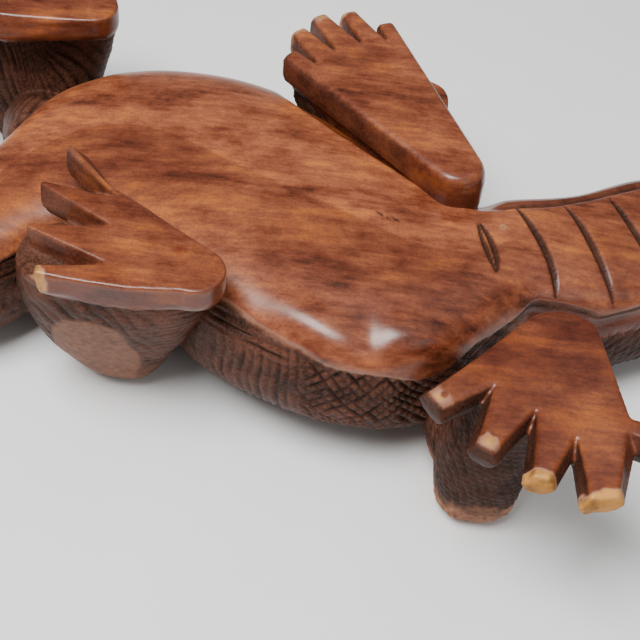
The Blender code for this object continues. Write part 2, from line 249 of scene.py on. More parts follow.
def add_marks(mesh: bpy.types.Mesh, marks: dict[str, np.ndarray]) -> None:
    """Put one float attribute per mark on a mesh's points."""
    for key, values in marks.items():
        layer = mesh.attributes.new(key, "FLOAT", "POINT")
        layer.data.foreach_set("value", np.asarray(values, dtype=np.float32).ravel())


def mesh_object(name: str, points: np.ndarray, faces: list,
                marks: dict[str, np.ndarray]) -> bpy.types.Object:
    """A named object from points and faces, with one float attribute per mark.

    Args:
        name: Name of the piece.
        points: Positions in the frame.
        faces: Vertex indices of each face.
        marks: Attribute name to one value per point.

    Returns:
        The linked object.
    """
    mesh = bpy.data.meshes.new(name)
    mesh.from_pydata(points.tolist(), [], faces)
    add_marks(mesh, marks)
    mesh.shade_smooth()
    mesh.update()
    item = bpy.data.objects.new(name, mesh)
    bpy.context.scene.collection.objects.link(item)
    return item


def band_quads(rings: int, around: int) -> np.ndarray:
    """Index rows of the quads between neighbouring closed rings."""
    i, j = np.meshgrid(np.arange(rings - 1), np.arange(around), indexing="ij")
    k = (j + 1) % around
    corners = (i * around + j, i * around + k, (i + 1) * around + k, (i + 1) * around + j)
    return np.stack(corners, -1).reshape(-1, 4)


def tube_faces(rings: int, around: int, flip: bool = False) -> list:
    """Faces of a closed tube: quads between rings and a fan to a pole at each end.

    Args:
        rings: Number of rings.
        around: Points on each ring.
        flip: True where the rings run along -X.

    Returns:
        List of index tuples; the poles are the last two points.
    """
    faces = band_quads(rings, around)
    first, last = rings * around, rings * around + 1
    a, b = np.arange(around), (np.arange(around) + 1) % around
    head = np.stack([b, a, np.full(around, first)], -1)
    base = (rings - 1) * around
    tail = np.stack([base + a, base + b, np.full(around, last)], -1)
    if flip:
        faces, head, tail = faces[:, ::-1], head[:, ::-1], tail[:, ::-1]
    return faces.tolist() + head.tolist() + tail.tolist()


def tube_object(name: str, grid: np.ndarray, marks: dict[str, np.ndarray],
                flip: bool = False) -> bpy.types.Object:
    """A closed tube from a grid of rings.

    Args:
        name: Name of the piece.
        grid: Rings by points by 3, in the frame.
        marks: Attribute name to rings-by-points values.
        flip: True where the rings run along -X.

    Returns:
        The linked object.
    """
    rings, around = grid.shape[:2]
    points = np.concatenate([grid.reshape(-1, 3), grid[0].mean(0)[None], grid[-1].mean(0)[None]])
    values = {key: np.concatenate([v.ravel(), [v[0].mean(), v[-1].mean()]]) for key, v in marks.items()}
    return mesh_object(name, points, tube_faces(rings, around, flip), values)


def loft_mesh(rings: np.ndarray) -> tuple[np.ndarray, list]:
    """Points and faces of a closed solid through rings, each end one many-sided face.

    Args:
        rings: Rings by points by 3, counter-clockwise seen from the last ring's side.

    Returns:
        Points and faces.
    """
    count, around = rings.shape[:2]
    ends = [list(range(around))[::-1], [(count - 1) * around + n for n in range(around)]]
    return rings.reshape(-1, 3), band_quads(count, around).tolist() + ends


def fused(name: str, solids: list[tuple[np.ndarray, list]], voxel: float, passes: int) -> bpy.types.Object:
    """Overlapping closed solids made one skin, with its edges eased as if sanded.

    Args:
        name: Name of the piece.
        solids: Points and faces of each solid.
        voxel: Size of the new faces.
        passes: How many times the skin is smoothed.

    Returns:
        The linked object with its modifiers applied.
    """
    points, faces, start = [], [], 0
    for solid_points, solid_faces in solids:
        points.append(solid_points)
        faces += [[n + start for n in face] for face in solid_faces]
        start += len(solid_points)
    item = mesh_object(name, np.concatenate(points), faces, {})
    remesh = item.modifiers.new("skin", "REMESH")
    remesh.mode = "VOXEL"
    remesh.voxel_size = voxel
    sanding = item.modifiers.new("sanding", "SMOOTH")
    sanding.factor = 0.5
    sanding.iterations = passes
    bpy.context.view_layer.update()
    done = bpy.data.meshes.new_from_object(item.evaluated_get(bpy.context.evaluated_depsgraph_get()))
    item.modifiers.clear()
    item.data = done
    return item


def read_skin(item: bpy.types.Object) -> tuple[np.ndarray, np.ndarray]:
    """Positions and normals of a mesh's points.

    Args:
        item: The object.

    Returns:
        Two arrays of one row per point.
    """
    count = len(item.data.vertices)
    points, normals = np.zeros(count * 3), np.zeros(count * 3)
    item.data.vertices.foreach_get("co", points)
    item.data.vertex_normals.foreach_get("vector", normals)
    return points.reshape(-1, 3), normals.reshape(-1, 3)


def write_skin(item: bpy.types.Object, points: np.ndarray, marks: dict[str, np.ndarray]) -> None:
    """Put moved points and the finish and painted shade attributes back on a mesh.

    Args:
        item: The object.
        points: New positions.
        marks: Attribute name to one value per point.
    """
    item.data.vertices.foreach_set("co", points.ravel())
    add_marks(item.data, marks)
    item.data.shade_smooth()
    item.data.update()


# ---------------------------------------------------------------- finishes

class Nodes:
    """Short way to add and join the nodes of one material."""

    def __init__(self, name: str) -> None:
        """Start a material with an empty Principled shader."""
        self.material = bpy.data.materials.new(name)
        self.material.use_nodes = True
        self.tree = self.material.node_tree
        self.shader = self.tree.nodes["Principled BSDF"]

    def add(self, kind: str, **values: object) -> bpy.types.Node:
        """One node; values name its settings or, failing that, its input sockets."""
        made = self.tree.nodes.new("ShaderNode" + kind)
        for key, value in values.items():
            if hasattr(made, key):
                setattr(made, key, value)
            else:
                made.inputs[key.replace("_", " ").title()].default_value = value
        return made

    def join(self, source: bpy.types.NodeSocket, target: bpy.types.NodeSocket) -> None:
        """Link one output to one input."""
        self.tree.links.new(source, target)

    def plug(self, value: object, slot: bpy.types.NodeSocket) -> None:
        """Link a socket to an input, or set the input to a number or a colour."""
        if isinstance(value, bpy.types.NodeSocket):
            self.join(value, slot)
        else:
            slot.default_value = (*value, 1.0) if isinstance(value, tuple) else value

    def feed(self, name: str, value: object) -> None:
        """Give one input of the shader a socket or a number."""
        self.plug(value, self.shader.inputs[name])

    def math(self, operation: str, first: object, second: object = 0.0,
             clamp: bool = False) -> bpy.types.NodeSocket:
        """A Math node on sockets or numbers."""
        made = self.add("Math", operation=operation, use_clamp=clamp)
        for slot, value in zip(made.inputs, (first, second)):
            self.plug(value, slot)
        return made.outputs[0]

    def weighed(self, *parts: tuple) -> bpy.types.NodeSocket:
        """Sum of (socket, weight) pairs."""
        total = self.math("MULTIPLY", *parts[0])
        for part in parts[1:]:
            total = self.math("ADD", total, self.math("MULTIPLY", *part))
        return total

    def place(self, scale: tuple, turn: float = 0.0) -> bpy.types.NodeSocket:
        """Object coordinates, turned about Z and scaled."""
        coordinates = self.add("TexCoord")
        turned = self.add("Mapping")
        turned.inputs["Rotation"].default_value = (0.0, 0.0, turn)
        self.join(coordinates.outputs["Object"], turned.inputs["Vector"])
        scaled = self.add("Mapping")
        scaled.inputs["Scale"].default_value = scale
        self.join(turned.outputs[0], scaled.inputs["Vector"])
        return scaled.outputs[0]

    def noise(self, scale: tuple, detail: float = 3.0, turn: float = 0.0, rough: float = 0.55,
              warp: float = 0.0) -> bpy.types.NodeSocket:
        """Noise value on stretched Object coordinates; scale is cells per metre along each axis."""
        made = self.add("TexNoise")
        made.inputs["Scale"].default_value = 1.0
        made.inputs["Detail"].default_value = detail
        made.inputs["Roughness"].default_value = rough
        made.inputs["Distortion"].default_value = warp
        self.join(self.place(scale, turn), made.inputs["Vector"])
        return made.outputs["Fac"]

    def ramp(self, value: bpy.types.NodeSocket, stops: tuple) -> bpy.types.NodeSocket:
        """Colour ramp through (place, (r, g, b)) stops."""
        made = self.add("ValToRGB")
        band = made.color_ramp
        while len(band.elements) < len(stops):
            band.elements.new(0.5)
        for element, (place, colour) in zip(band.elements, stops):
            element.position = place
            element.color = (*colour, 1.0)
        self.join(value, made.inputs["Fac"])
        return made.outputs["Color"]

    def blend(self, share: object, low: object, high: object, mode: str = "MIX") -> bpy.types.NodeSocket:
        """Mix of two colours by a share."""
        made = self.add("Mix", data_type="RGBA", blend_type=mode)
        for slot, value in ((made.inputs[0], share), (made.inputs[6], low), (made.inputs[7], high)):
            self.plug(value, slot)
        return made.outputs[2]

    def mark(self, name: str) -> bpy.types.NodeSocket:
        """A float attribute that the piece's mesh carries."""
        return self.add("Attribute", attribute_name=name).outputs["Fac"]


@dataclass(frozen=True)
class OiledHardwood:
    """Oiled reddish hardwood: figured where polished, grey-brown where cut, golden where worn, with painted
    shade in cuts and recesses and a painted highlight where marked.
    """

    dark: tuple = (0.045, 0.010, 0.004)
    red: tuple = (0.165, 0.041, 0.017)
    rose: tuple = (0.270, 0.082, 0.036)
    amber: tuple = (0.450, 0.140, 0.036)
    cut: tuple = (0.088, 0.033, 0.020)
    # cut colour under painted shade, for the floors of gouges and cuts
    cut_in_shade: tuple = (0.014, 0.005, 0.003)
    golden: tuple = (0.540, 0.240, 0.055)
    # rubbed wood; the same colour paints the highlight along the belly lip
    rubbed: tuple = (0.320, 0.150, 0.088)
    # tint multiplied in where the surface is darker in tone or under painted shade
    tone_and_shade: tuple = (0.34, 0.20, 0.14)
    gloss: float = 0.27

    def make(self, name: str, heading: float = 0.0) -> bpy.types.Material:
        """The material, with its grain along a heading.

        Args:
            name: Material name.
            heading: Angle of the grain from +X in radians.

        Returns:
            The material.
        """
        n = Nodes(name)
        figure = n.noise((15.0, 62.0, 62.0), 3.0, -heading, 0.5, 0.6)
        streak = n.noise((70.0, 520.0, 520.0), 4.0, -heading, 0.65)
        fibre = n.noise((300.0, 4200.0, 4200.0), 2.0, -heading)
        mottle = n.noise((75.0, 120.0, 120.0), 6.0, -heading, 0.68)
        speck = n.noise((1500.0, 1500.0, 1500.0), 2.0)
        tone = n.weighed((figure, 0.30), (streak, 0.22), (mottle, 0.42), (fibre, 0.06))
        body = n.ramp(tone, ((0.37, self.dark), (0.45, self.red), (0.52, self.rose), (0.60, self.amber)))
        lines = n.math("PINGPONG", n.math("MULTIPLY", figure, 9.0), 0.5)
        vein = n.math("MULTIPLY", n.math("SUBTRACT", 0.10, lines, True), 5.0, True)
        body = n.blend(n.math("MULTIPLY", vein, 0.35), body, self.dark)
        salt = n.ramp(speck, ((0.35, (0.55, 0.55, 0.55)), (0.65, (1.25, 1.2, 1.15))))
        body = n.blend(0.35, body, salt, "MULTIPLY")
        # darker tone and painted shade, multiplied in by their mark
        body = n.blend(n.mark("tone_and_shade"), body, n.blend(1.0, body, self.tone_and_shade, "MULTIPLY"))
        fresh, dull = tuple(1.7 * c for c in self.cut), tuple(0.40 * c for c in self.golden)
        cut = n.ramp(n.weighed((mottle, 0.6), (speck, 0.4)),
                     ((0.35, self.cut_in_shade), (0.52, self.cut), (0.68, fresh)))
        # painted shade: the cut colour darkened in gouge floors and recesses by the shade mark
        cut = n.blend(n.mark("painted_shade"), cut, self.cut_in_shade)
        gold = n.ramp(n.noise((260.0, 260.0, 260.0), 2.0), ((0.35, dull), (0.60, self.golden)))
        matte, wear_and_highlight = n.mark("matte"), n.mark("wear_and_highlight")
        gold = n.blend(n.math("MULTIPLY", n.math("SUBTRACT", wear_and_highlight, 0.5), 2.0, True), self.rubbed, gold)
        wood = n.blend(matte, body, cut)
        n.feed("Base Color", n.blend(n.math("MULTIPLY", wear_and_highlight, 2.0, True), wood, gold))
        n.feed("Specular IOR Level", n.math("SUBTRACT", 0.46, n.math("MULTIPLY", matte, 0.36)))
        polished = n.math("ADD", n.math("MULTIPLY", mottle, 0.16), self.gloss - 0.06)
        rough = n.math("ADD", polished, n.math("MULTIPLY", matte, 0.20), True)
        n.feed("Roughness", n.math("ADD", rough, n.math("MULTIPLY", wear_and_highlight, 0.10), True))
        fine = n.add("Bump", distance=0.00006)
        fine.inputs["Strength"].default_value = 0.35
        n.join(n.weighed((fibre, 0.6), (speck, 0.4)), fine.inputs["Height"])
        tool = n.add("Bump", distance=0.00040)
        n.join(n.math("MULTIPLY", matte, 0.75), tool.inputs["Strength"])
        n.join(n.noise((700.0, 700.0, 700.0), 3.0), tool.inputs["Height"])
        n.join(fine.outputs[0], tool.inputs["Normal"])
        n.feed("Normal", tool.outputs[0])
        return n.material


@dataclass(frozen=True)
class PegWood:
    """Plain pale dowel with fine straight grain."""

    pale: tuple = (0.55, 0.38, 0.20)
    grain: tuple = (0.38, 0.23, 0.10)

    def make(self, name: str) -> bpy.types.Material:
        """The material."""
        n = Nodes(name)
        fibre = n.noise((120.0, 1500.0, 1500.0))
        n.feed("Base Color", n.ramp(fibre, ((0.35, self.grain), (0.6, self.pale))))
        n.feed("Roughness", 0.6)
        return n.material


@dataclass(frozen=True)
class BlackBead:
    """Polished near-black wooden bead with a faint brown figure."""

    black: tuple = (0.012, 0.008, 0.006)
    brown: tuple = (0.045, 0.022, 0.012)

    def make(self, name: str) -> bpy.types.Material:
        """The material."""
        n = Nodes(name)
        fibre = n.noise((300.0, 900.0, 900.0))
        n.feed("Base Color", n.ramp(fibre, ((0.45, self.black), (0.7, self.brown))))
        n.feed("Roughness", 0.12)
        return n.material


@dataclass(frozen=True)
class PaleFloor:
    """Plain pale cloth-like floor."""

    tone: tuple = (0.88, 0.88, 0.875)

    def make(self, name: str) -> bpy.types.Material:
        """The material."""
        n = Nodes(name)
        dim = tuple(0.97 * c for c in self.tone)
        n.feed("Base Color", n.ramp(n.noise((30.0, 30.0, 30.0), 2.0), ((0.3, dim), (0.7, self.tone))))
        n.feed("Roughness", 0.9)
        return n.material


# ---------------------------------------------------------------- body of the figure

@dataclass(frozen=True)
class Section:
    """Roundness of a cross-section: squarer belly above, rounder back below."""

    belly: float = 3.5
    back: float = 2.2
    middle: float = 0.54

    def ring(self, row: np.ndarray, angle: np.ndarray) -> np.ndarray:
        """Points on the outline: superellipse halves above and below the middle height.

        Args:
            row: Arrays of near flank, far flank, top and bottom, last axis 4.
            angle: Angles from the far flank towards the belly.

        Returns:
            Array of y and z, rows by angles by 2.
        """
        near, far, top, bottom = (row[:, k:k + 1] for k in range(4))
        cosine, sine = np.cos(angle)[None], np.sin(angle)[None]
        middle = bottom + self.middle * (top - bottom)
        power = 2.0 / np.where(sine > 0, self.belly, self.back)
        height = np.where(sine > 0, top - middle, middle - bottom)
        y = 0.5 * (near + far) + 0.5 * (far - near) * np.sign(cosine) * np.abs(cosine) ** power
        return np.stack([y, middle + height * np.sign(sine) * np.abs(sine) ** power], axis=-1)

    def height_at(self, row: np.ndarray, y: np.ndarray) -> np.ndarray:
        """Height of the belly half above a given y, on the same outline.

        Args:
            row: Arrays of near flank, far flank, top and bottom, last axis 4.
            y: One value per row.

        Returns:
            One height per row.
        """
        near, far, top, bottom = row.T
        middle = bottom + self.middle * (top - bottom)
        aside = np.clip(np.abs(y - 0.5 * (near + far)) / (0.5 * (far - near)), 0.0, 0.999)
        return middle + (top - middle) * (1.0 - aside ** self.belly) ** (1.0 / self.belly)

    @staticmethod
    def drawn_in(rows: np.ndarray, start: float,
                 share: np.ndarray) -> tuple[np.ndarray, np.ndarray, np.ndarray]:
        """Rows whose last rings shrink about their middles on a quarter circle, to close an end.

        Args:
            rows: Arrays of near flank, far flank, top and bottom, last axis 4.
            start: Share of the length where the shrinking starts.
            share: Share of the length of each row.

        Returns:
            The new rows, the middle y and the half width, each as columns.
        """
        close = np.sqrt(np.clip(1.0 - ease(start, 1.0, share) ** 2, 0.0004, 1.0))[:, None]
        near, far, top, bottom = (rows[:, k:k + 1] for k in range(4))
        centre_y, half = 0.5 * (near + far), 0.5 * (far - near) * close
        centre_z, tall = 0.5 * (top + bottom), 0.5 * (top - bottom) * close
        shaped = np.concatenate([centre_y - half, centre_y + half, centre_z + tall, centre_z - tall], 1)
        return shaped, centre_y, half


SECTION = Section()


def profile(table: list, share: np.ndarray) -> np.ndarray:
    """Near flank, far flank, top and bottom from stations of middle, half width, top and bottom."""
    _, middle, half, top, bottom = hermite(np.array(table), share).T
    return np.stack([middle - half, middle + half, top, bottom], 1)


def sweep(x: np.ndarray, section: np.ndarray) -> np.ndarray:
    """Tube grid: each ring's y and z set at its x."""
    return np.concatenate([np.broadcast_to(x[:, None, None], section.shape[:2] + (1,)), section], axis=2)


def trace(points: tuple, at: np.ndarray) -> np.ndarray:
    """Second value, in metres, of a smooth line through (first, second) pairs in millimetres."""
    table = np.array(points) * MM
    return hermite(table, np.clip(at, table[0, 0], table[-1, 0]))[:, 1]


@dataclass
class Groove:
    """One crescent gouge across the belly side, drawn as (x, y) points in millimetres."""

    line: tuple
    width: float = 0.0025
    depth: float = 0.0010

    def cut(self, x: np.ndarray, y: np.ndarray) -> tuple[np.ndarray, np.ndarray]:
        """Depth and floor mask: flat-bottomed V about x = f(y), tapering to both ends.

        Args:
            x: Distance behind the neck seam.
            y: Distance from the middle line.

        Returns:
            Depth in metres and floor mask from 0 to 1.
        """
        table = np.array(self.line)[::-1] * MM
        low, high = table[0, 1], table[-1, 1]
        fit = np.polyfit(table[:, 1], table[:, 0], min(3, len(table) - 1))
        share = np.clip((y - low) / (high - low), 0.0, 1.0)
        slope = np.polyval(np.polyder(fit), np.clip(y, low, high))
        away = np.abs(x - np.polyval(fit, np.clip(y, low, high))) / np.sqrt(1.0 + slope ** 2)
        reach = 0.5 * self.width * (4.0 * share * (1.0 - share)) ** 0.45
        inside = (y > low) & (y < high) & (reach > LEAST_REACH)
        ratio = away / np.maximum(reach, LEAST_REACH)
        depth = self.depth * blunt_vee(ratio) * (reach / (0.5 * self.width))
        return np.where(inside, depth, 0.0), np.where(inside, ease(1.25, 0.55, ratio), 0.0)


@dataclass
class Trunk:
    """Body from the neck seam to the tail seam: smooth belly, raised rims and scale-cut flanks."""

    finish: OiledHardwood
    length: float = 0.205
    width: float = 0.092
    height: float = 0.050
    rings: int = 366
    around: int = 272
    ledge: float = 0.0009
    lip: float = 0.0006
    hollow: float = 0.0011
    stroke_pitch: float = 0.0024
    stroke_depth: float = 0.00095
    swelling: float = 0.0016
    seam: float = 0.002
    # middle x and y, half length, half width and slope of each swelling by the near rim
    swellings: tuple = (
        (0.1060, -0.0342, 0.0130, 0.0046, -0.47), (0.1285, -0.0332, 0.0120, 0.0048, 0.10))
    # first and last x, y at the first and slope of each short nick, painted as a dark line of shade with no
    # cut
    nicks: tuple = ((0.1157, 0.1173, 0.0030, -0.375), (0.1184, 0.1215, 0.0020, -0.190))
    stations: tuple = (
        (0.00, -0.337, 0.130, 0.78, 0.04), (0.07, -0.293, 0.285, 0.85, 0.02),
        (0.11, -0.235, 0.495, 0.88, 0.01), (0.17, -0.115, 0.615, 0.92, 0.00),
        (0.24, -0.085, 0.668, 0.95, 0.00), (0.30, -0.165, 0.678, 0.97, 0.00),
        (0.37, -0.315, 0.660, 0.99, 0.00), (0.45, -0.410, 0.590, 1.00, 0.00),
        (0.54, -0.458, 0.466, 1.00, 0.00), (0.62, -0.440, 0.312, 0.99, 0.00),
        (0.68, -0.365, 0.244, 0.97, 0.00), (0.75, -0.205, 0.272, 0.95, 0.01),
        (0.82, -0.155, 0.325, 0.93, 0.01), (0.91, -0.090, 0.450, 0.90, 0.02),
        (1.00, 0.02143, 0.51057, 0.86, 0.02))
    near_rim: tuple = (
        (0, -27), (20, -21), (35, -8.6), (49, -6.4), (62, -13.4), (75, -23.4), (82.1, -26.6), (88, -30.2),
        (95.8, -34.6), (104.4, -38.4), (108.1, -39.5), (118.1, -40.3), (130.5, -38.2), (136.5, -34.6),
        (144.3, -26.5), (149.5, -20.9), (153.9, -16.4), (156, -13.9), (161.3, -12.8), (166.1, -12.0),
        (170.6, -11.5), (174.6, -11.0), (180.3, -9.0), (183.9, -7.2), (205, 4.4))
    far_rim: tuple = (
        (0, 9.5), (12, 22), (25, 42), (40, 55), (60, 58.5), (75, 57), (87.5, 46.5), (97.9, 36), (107.3, 28.3),
        (117.3, 21.4), (124.3, 16.6), (131.2, 11.7), (137.9, 9.4), (144.5, 10.2), (151.3, 13.2),
        (160.5, 16.2), (165.6, 18.6), (175.4, 24.3), (185.4, 30.3), (205, 42.3))
    grooves: tuple = (
        Groove(((141.4, 5.4), (143.0, -1.7), (144.9, -7.4), (146.2, -11.0)), 0.0016, 0.0008),
        Groove(((141.9, 5.5), (144.4, 0.6), (146.0, -4.6), (146.4, -10.4)), 0.0021, 0.0009),
        Groove(((151.3, 14.2), (155.3, 7.5), (157.9, 1.4), (159.9, -4.3), (161.2, -9.3), (161.7, -12.4))),
        Groove(((164.4, 17.6), (168.3, 11.2), (170.8, 4.6), (173.4, -2.5), (175.5, -6.6), (176.9, -9.6))),
        Groove(((176.6, 24.2), (180.1, 17.7), (182.6, 12.8), (185.6, 5.0), (188.2, -1.0), (189.6, -4.6))),
        Groove(((189.0, 31.5), (193.2, 23.0), (196.2, 15.5), (198.8, 8.0), (200.6, 1.6))))

    def rows(self, x: np.ndarray) -> np.ndarray:
        """Near flank, far flank, top and bottom at distances behind the neck seam."""
        scale = np.array([self.length, self.width, self.width, self.height, self.height])
        return hermite(np.array(self.stations) * scale, x)[:, 1:]

    def angles(self) -> np.ndarray:
        """Angles round a ring, packed by distance along a typical outline: near flank dense, back sparse."""
        fine = np.linspace(-math.pi, math.pi, 40001)
        outline = SECTION.ring(np.array([[-0.030, 0.030, self.height, 0.0]]), fine)[0]
        step = np.linalg.norm(np.diff(outline, axis=0), axis=1)
        turn = np.radians([-180, -128, -115, -65, -45, 0, 30, 120, 150, 180])
        dense = np.interp(fine[1:], turn, [1.6, 1.5, 0.3, 0.3, 0.6, 0.9, 1.0, 1.0, 1.6, 1.6])
        total = np.concatenate([[0.0], np.cumsum(step * dense)])
        return np.interp(np.linspace(0.0, total[-1], self.around + 1), total, fine)[:-1]

    def strokes(self, grid: np.ndarray, down_near: np.ndarray) -> np.ndarray:
        """Scale cuts: upright towards the head, level just under the rim, crossed further back.

        Args:
            grid: Rings by points by 3, in plan coordinates.
            down_near: Distance below the near rim.

        Returns:
            Depth from 0 to 1.
        """
        x, z = grid[..., 0], grid[..., 2]
        drift = ripple(grid, 0.012, 5, 1.7)
        pitch = self.stroke_pitch
        upright = gouges(x / pitch + drift + 0.12 * z / pitch, z / 0.009, 11)
        level = gouges(z / pitch + drift * 0.7, x / 0.012, 17)
        rising = slanted(grid, 0.85, 0.0032, 0.011, drift, 23)
        falling = slanted(grid, -0.95, 0.0034, 0.011, drift, 29)
        left = ease(0.106, 0.099, x)
        top_left = ease(0.101, 0.095, x) * ease(0.010, 0.005, down_near)
        rear = ease(0.150, 0.158, x)
        pattern = left * (1 - top_left) * upright + top_left * level
        pattern = pattern + (1 - left) * (1 - rear) * np.maximum(rising, falling)
        return pattern + rear * np.maximum(0.6 * falling, 0.5 * upright) * ease(0.006, 0.009, down_near)

    def carve(self, grid: np.ndarray, rows: np.ndarray) -> tuple[np.ndarray, dict[str, np.ndarray]]:
        """Cut the rims, crescents, bulges and scales into the plain form.

        Each cut is a depth along the outward normal: a ledge below each rim, V gouges across
        the flank below it, crescents across the tail root and two low swellings by the near rim.

        Args:
            grid: Rings by points by 3, in plan coordinates.
            rows: Flanks, top and bottom of each ring.

        Returns:
            The carved grid and the finish attributes, painted shade and the lip's painted highlight among
            them.
        """
        x, y, z = (grid[..., k] for k in range(3))
        at = grid[:, 0, 0]
        normal = grid_normals(grid)
        upward = ease(0.2, 0.6, normal[..., 2])
        centre = 0.5 * (rows[:, 0] + rows[:, 1])[:, None]
        far_line = trace(self.far_rim, at)
        near_z = SECTION.height_at(rows, trace(self.near_rim, at))[:, None]
        far_z = SECTION.height_at(rows, far_line)[:, None]
        wander = ripple(grid, 0.006, 3, 0.0010)
        down_near = np.where(y < centre, near_z - z + wander, OTHER_FLANK)
        past_far = np.where(y > centre, y - far_line[:, None] + wander, OTHER_FLANK)
        down_far = np.where(y > centre, far_z - z + wander, OTHER_FLANK)
        # near ledge: thin proud lip, then the flank set back under it
        tail_part, rear = ease(0.152, 0.160, x), ease(0.150, 0.158, x)
        lip = ridge(down_near, 0.0016, 0.0006) * (1 - tail_part) * ease(0.070, 0.080, x)
        hollow = ridge(down_near, 0.0040, 0.0026) * tail_part
        depth = self.ledge * ease(0.0000, 0.0012, down_near) - self.lip * lip + self.hollow * hollow
        # far edge: soft ridge beside the foot, then a rough channel along the tail
        beside_foot = ease(0.084, 0.092, x) * ease(0.150, 0.142, x)
        shoulder = 0.0016 * ease(0.0002, 0.0060, past_far) - 0.0003 * ridge(past_far, 0.0, 0.0012)
        channel = ease(0.144, 0.150, x) * np.exp(-((past_far - 0.0017) / 0.0014) ** 4)
        depth += beside_foot * shoulder + 0.0008 * channel
        # scale cuts below both rims, on a slightly uneven ground
        cut = np.where(y < centre, ease(0.0006, 0.0016, down_near), ease(0.0040, 0.0070, down_far))
        stroke = cut * self.strokes(grid, down_near)
        depth += (self.stroke_depth + 0.00015 * ease(0.108, 0.116, x)) * stroke
        depth += cut * ripple(grid, 0.0045, 31, 0.0005)
        floor = np.zeros_like(x)
        for groove in self.grooves:
            sunk, inside = groove.cut(x, y)
            depth += sunk * upward
            floor = np.maximum(floor, inside * upward)
        # swellings by the near rim, with a saddle between them
        for cx, cy, rx, ry, slope in self.swellings:
            aside = (y - cy) - slope * (x - cx)
            depth -= self.swelling * ridge(x, cx, rx) * ridge(aside, 0.0, ry) * upward
        depth += 0.0007 * ridge(x, 0.1170, 0.0034) * ridge(y, -0.0350, 0.0060) * upward
        depth += upward * ripple(grid, 0.030, 37, 0.0007) * (1 - cut)
        hidden_end = ease(0.0, self.seam, x) * ease(self.length, self.length - self.seam, x)
        carved = grid - normal * (depth * hidden_end)[..., None]
        # where the cuts are matte, and darkened by painted shade
        rough = cloud(grid, 0.0011, 67)
        band = ease(0.150, 0.156, x) * ease(0.0002, 0.0008, down_near) * ease(0.0030, 0.0020, down_near)
        smooth_hollow = rear * ease(0.0022, 0.0030, down_near) * ease(0.0095, 0.0080, down_near)
        matte = np.maximum.reduce([
            cut * (1 - smooth_hollow), floor, channel * (0.4 + 0.6 * rough), band * (0.1 + 0.5 * rough),
            ease(0.0005, 0.0012, down_near) * ease(0.149, 0.141, x)])
        crease = ridge(down_near, 0.0031, 0.0004) * tail_part
        # painted shade in the stroke floors, the channel, the crease line and the groove floors
        painted_shade = np.maximum.reduce([1.35 * stroke - 0.1, 0.55 * channel, 0.7 * crease, 0.6 * floor])
        painted_shade = np.clip(painted_shade, 0.0, 1.0)
        # each nick is painted as a thin line of shade, with no cut
        for first, last, start, slope in self.nicks:
            span = ease(first - 0.0004, first, x) * ease(last + 0.0004, last, x) * upward
            nick = ridge(y, start + slope * (x - first), 0.00045) * span
            matte, painted_shade = np.maximum(matte, nick), np.maximum(painted_shade, nick)
        # painted shade on the lower flank of the tail root
        painted_shade = np.maximum(painted_shade, 0.55 * rear * ease(0.009, 0.012, down_near))
        # a chip and a painted highlight along the lip; then the tail and the near half of the belly darker,
        # and painted shade in the hollow and beyond the far rim
        chip = ridge(x, 0.1478, 0.0007) * ridge(y, 0.0052, 0.0009) * upward
        # painted highlight: a pale line along the near lip, given the rubbed colour through the wear mark
        lip_highlight = ridge(down_near, 0.0007, 0.0005) * ease(0.078, 0.086, x) * ease(0.156, 0.146, x)
        wear_and_highlight = np.clip(np.maximum(1.8 * chip - 0.2, 0.42 * lip_highlight * rough), 0.0, 1.0)
        near_half_darker = 0.55 * ease(0.0140, 0.0020, down_near + 0.012) * (y < centre)
        # painted shade: the hollow under the near rim and the slope beyond the far rim, down beside the far
        # foot
        tone_and_shade = np.maximum.reduce([0.35 * ease(0.135, 0.165, x), near_half_darker, 0.9 * smooth_hollow,
                                  0.8 * ease(0.0, 0.002, past_far)])
        tone_and_shade = np.clip(tone_and_shade + 0.3 * (cloud(grid, 0.016, 91) - 0.6), 0.0, 1.0)
        return carved, {"matte": matte, "painted_shade": painted_shade, "wear_and_highlight": wear_and_highlight, "tone_and_shade": tone_and_shade}

    def build(self) -> bpy.types.Object:
        """Sweep the cross-section from the neck seam to the tail seam and carve it."""
        x = spaced(self.rings, np.array([0.0, 0.078, 0.086, 0.200, self.length]),
                   np.array([0.40, 0.45, 1.0, 1.0, 0.6]))
        rows = self.rows(x)
        carved, marks = self.carve(sweep(x, SECTION.ring(rows, self.angles())), rows)
        item = tube_object("body", carved + origin(), marks)
        item.data.materials.append(self.finish.make("oiled_hardwood_body"))
        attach(item, "root")
        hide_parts("trunk")
        return item


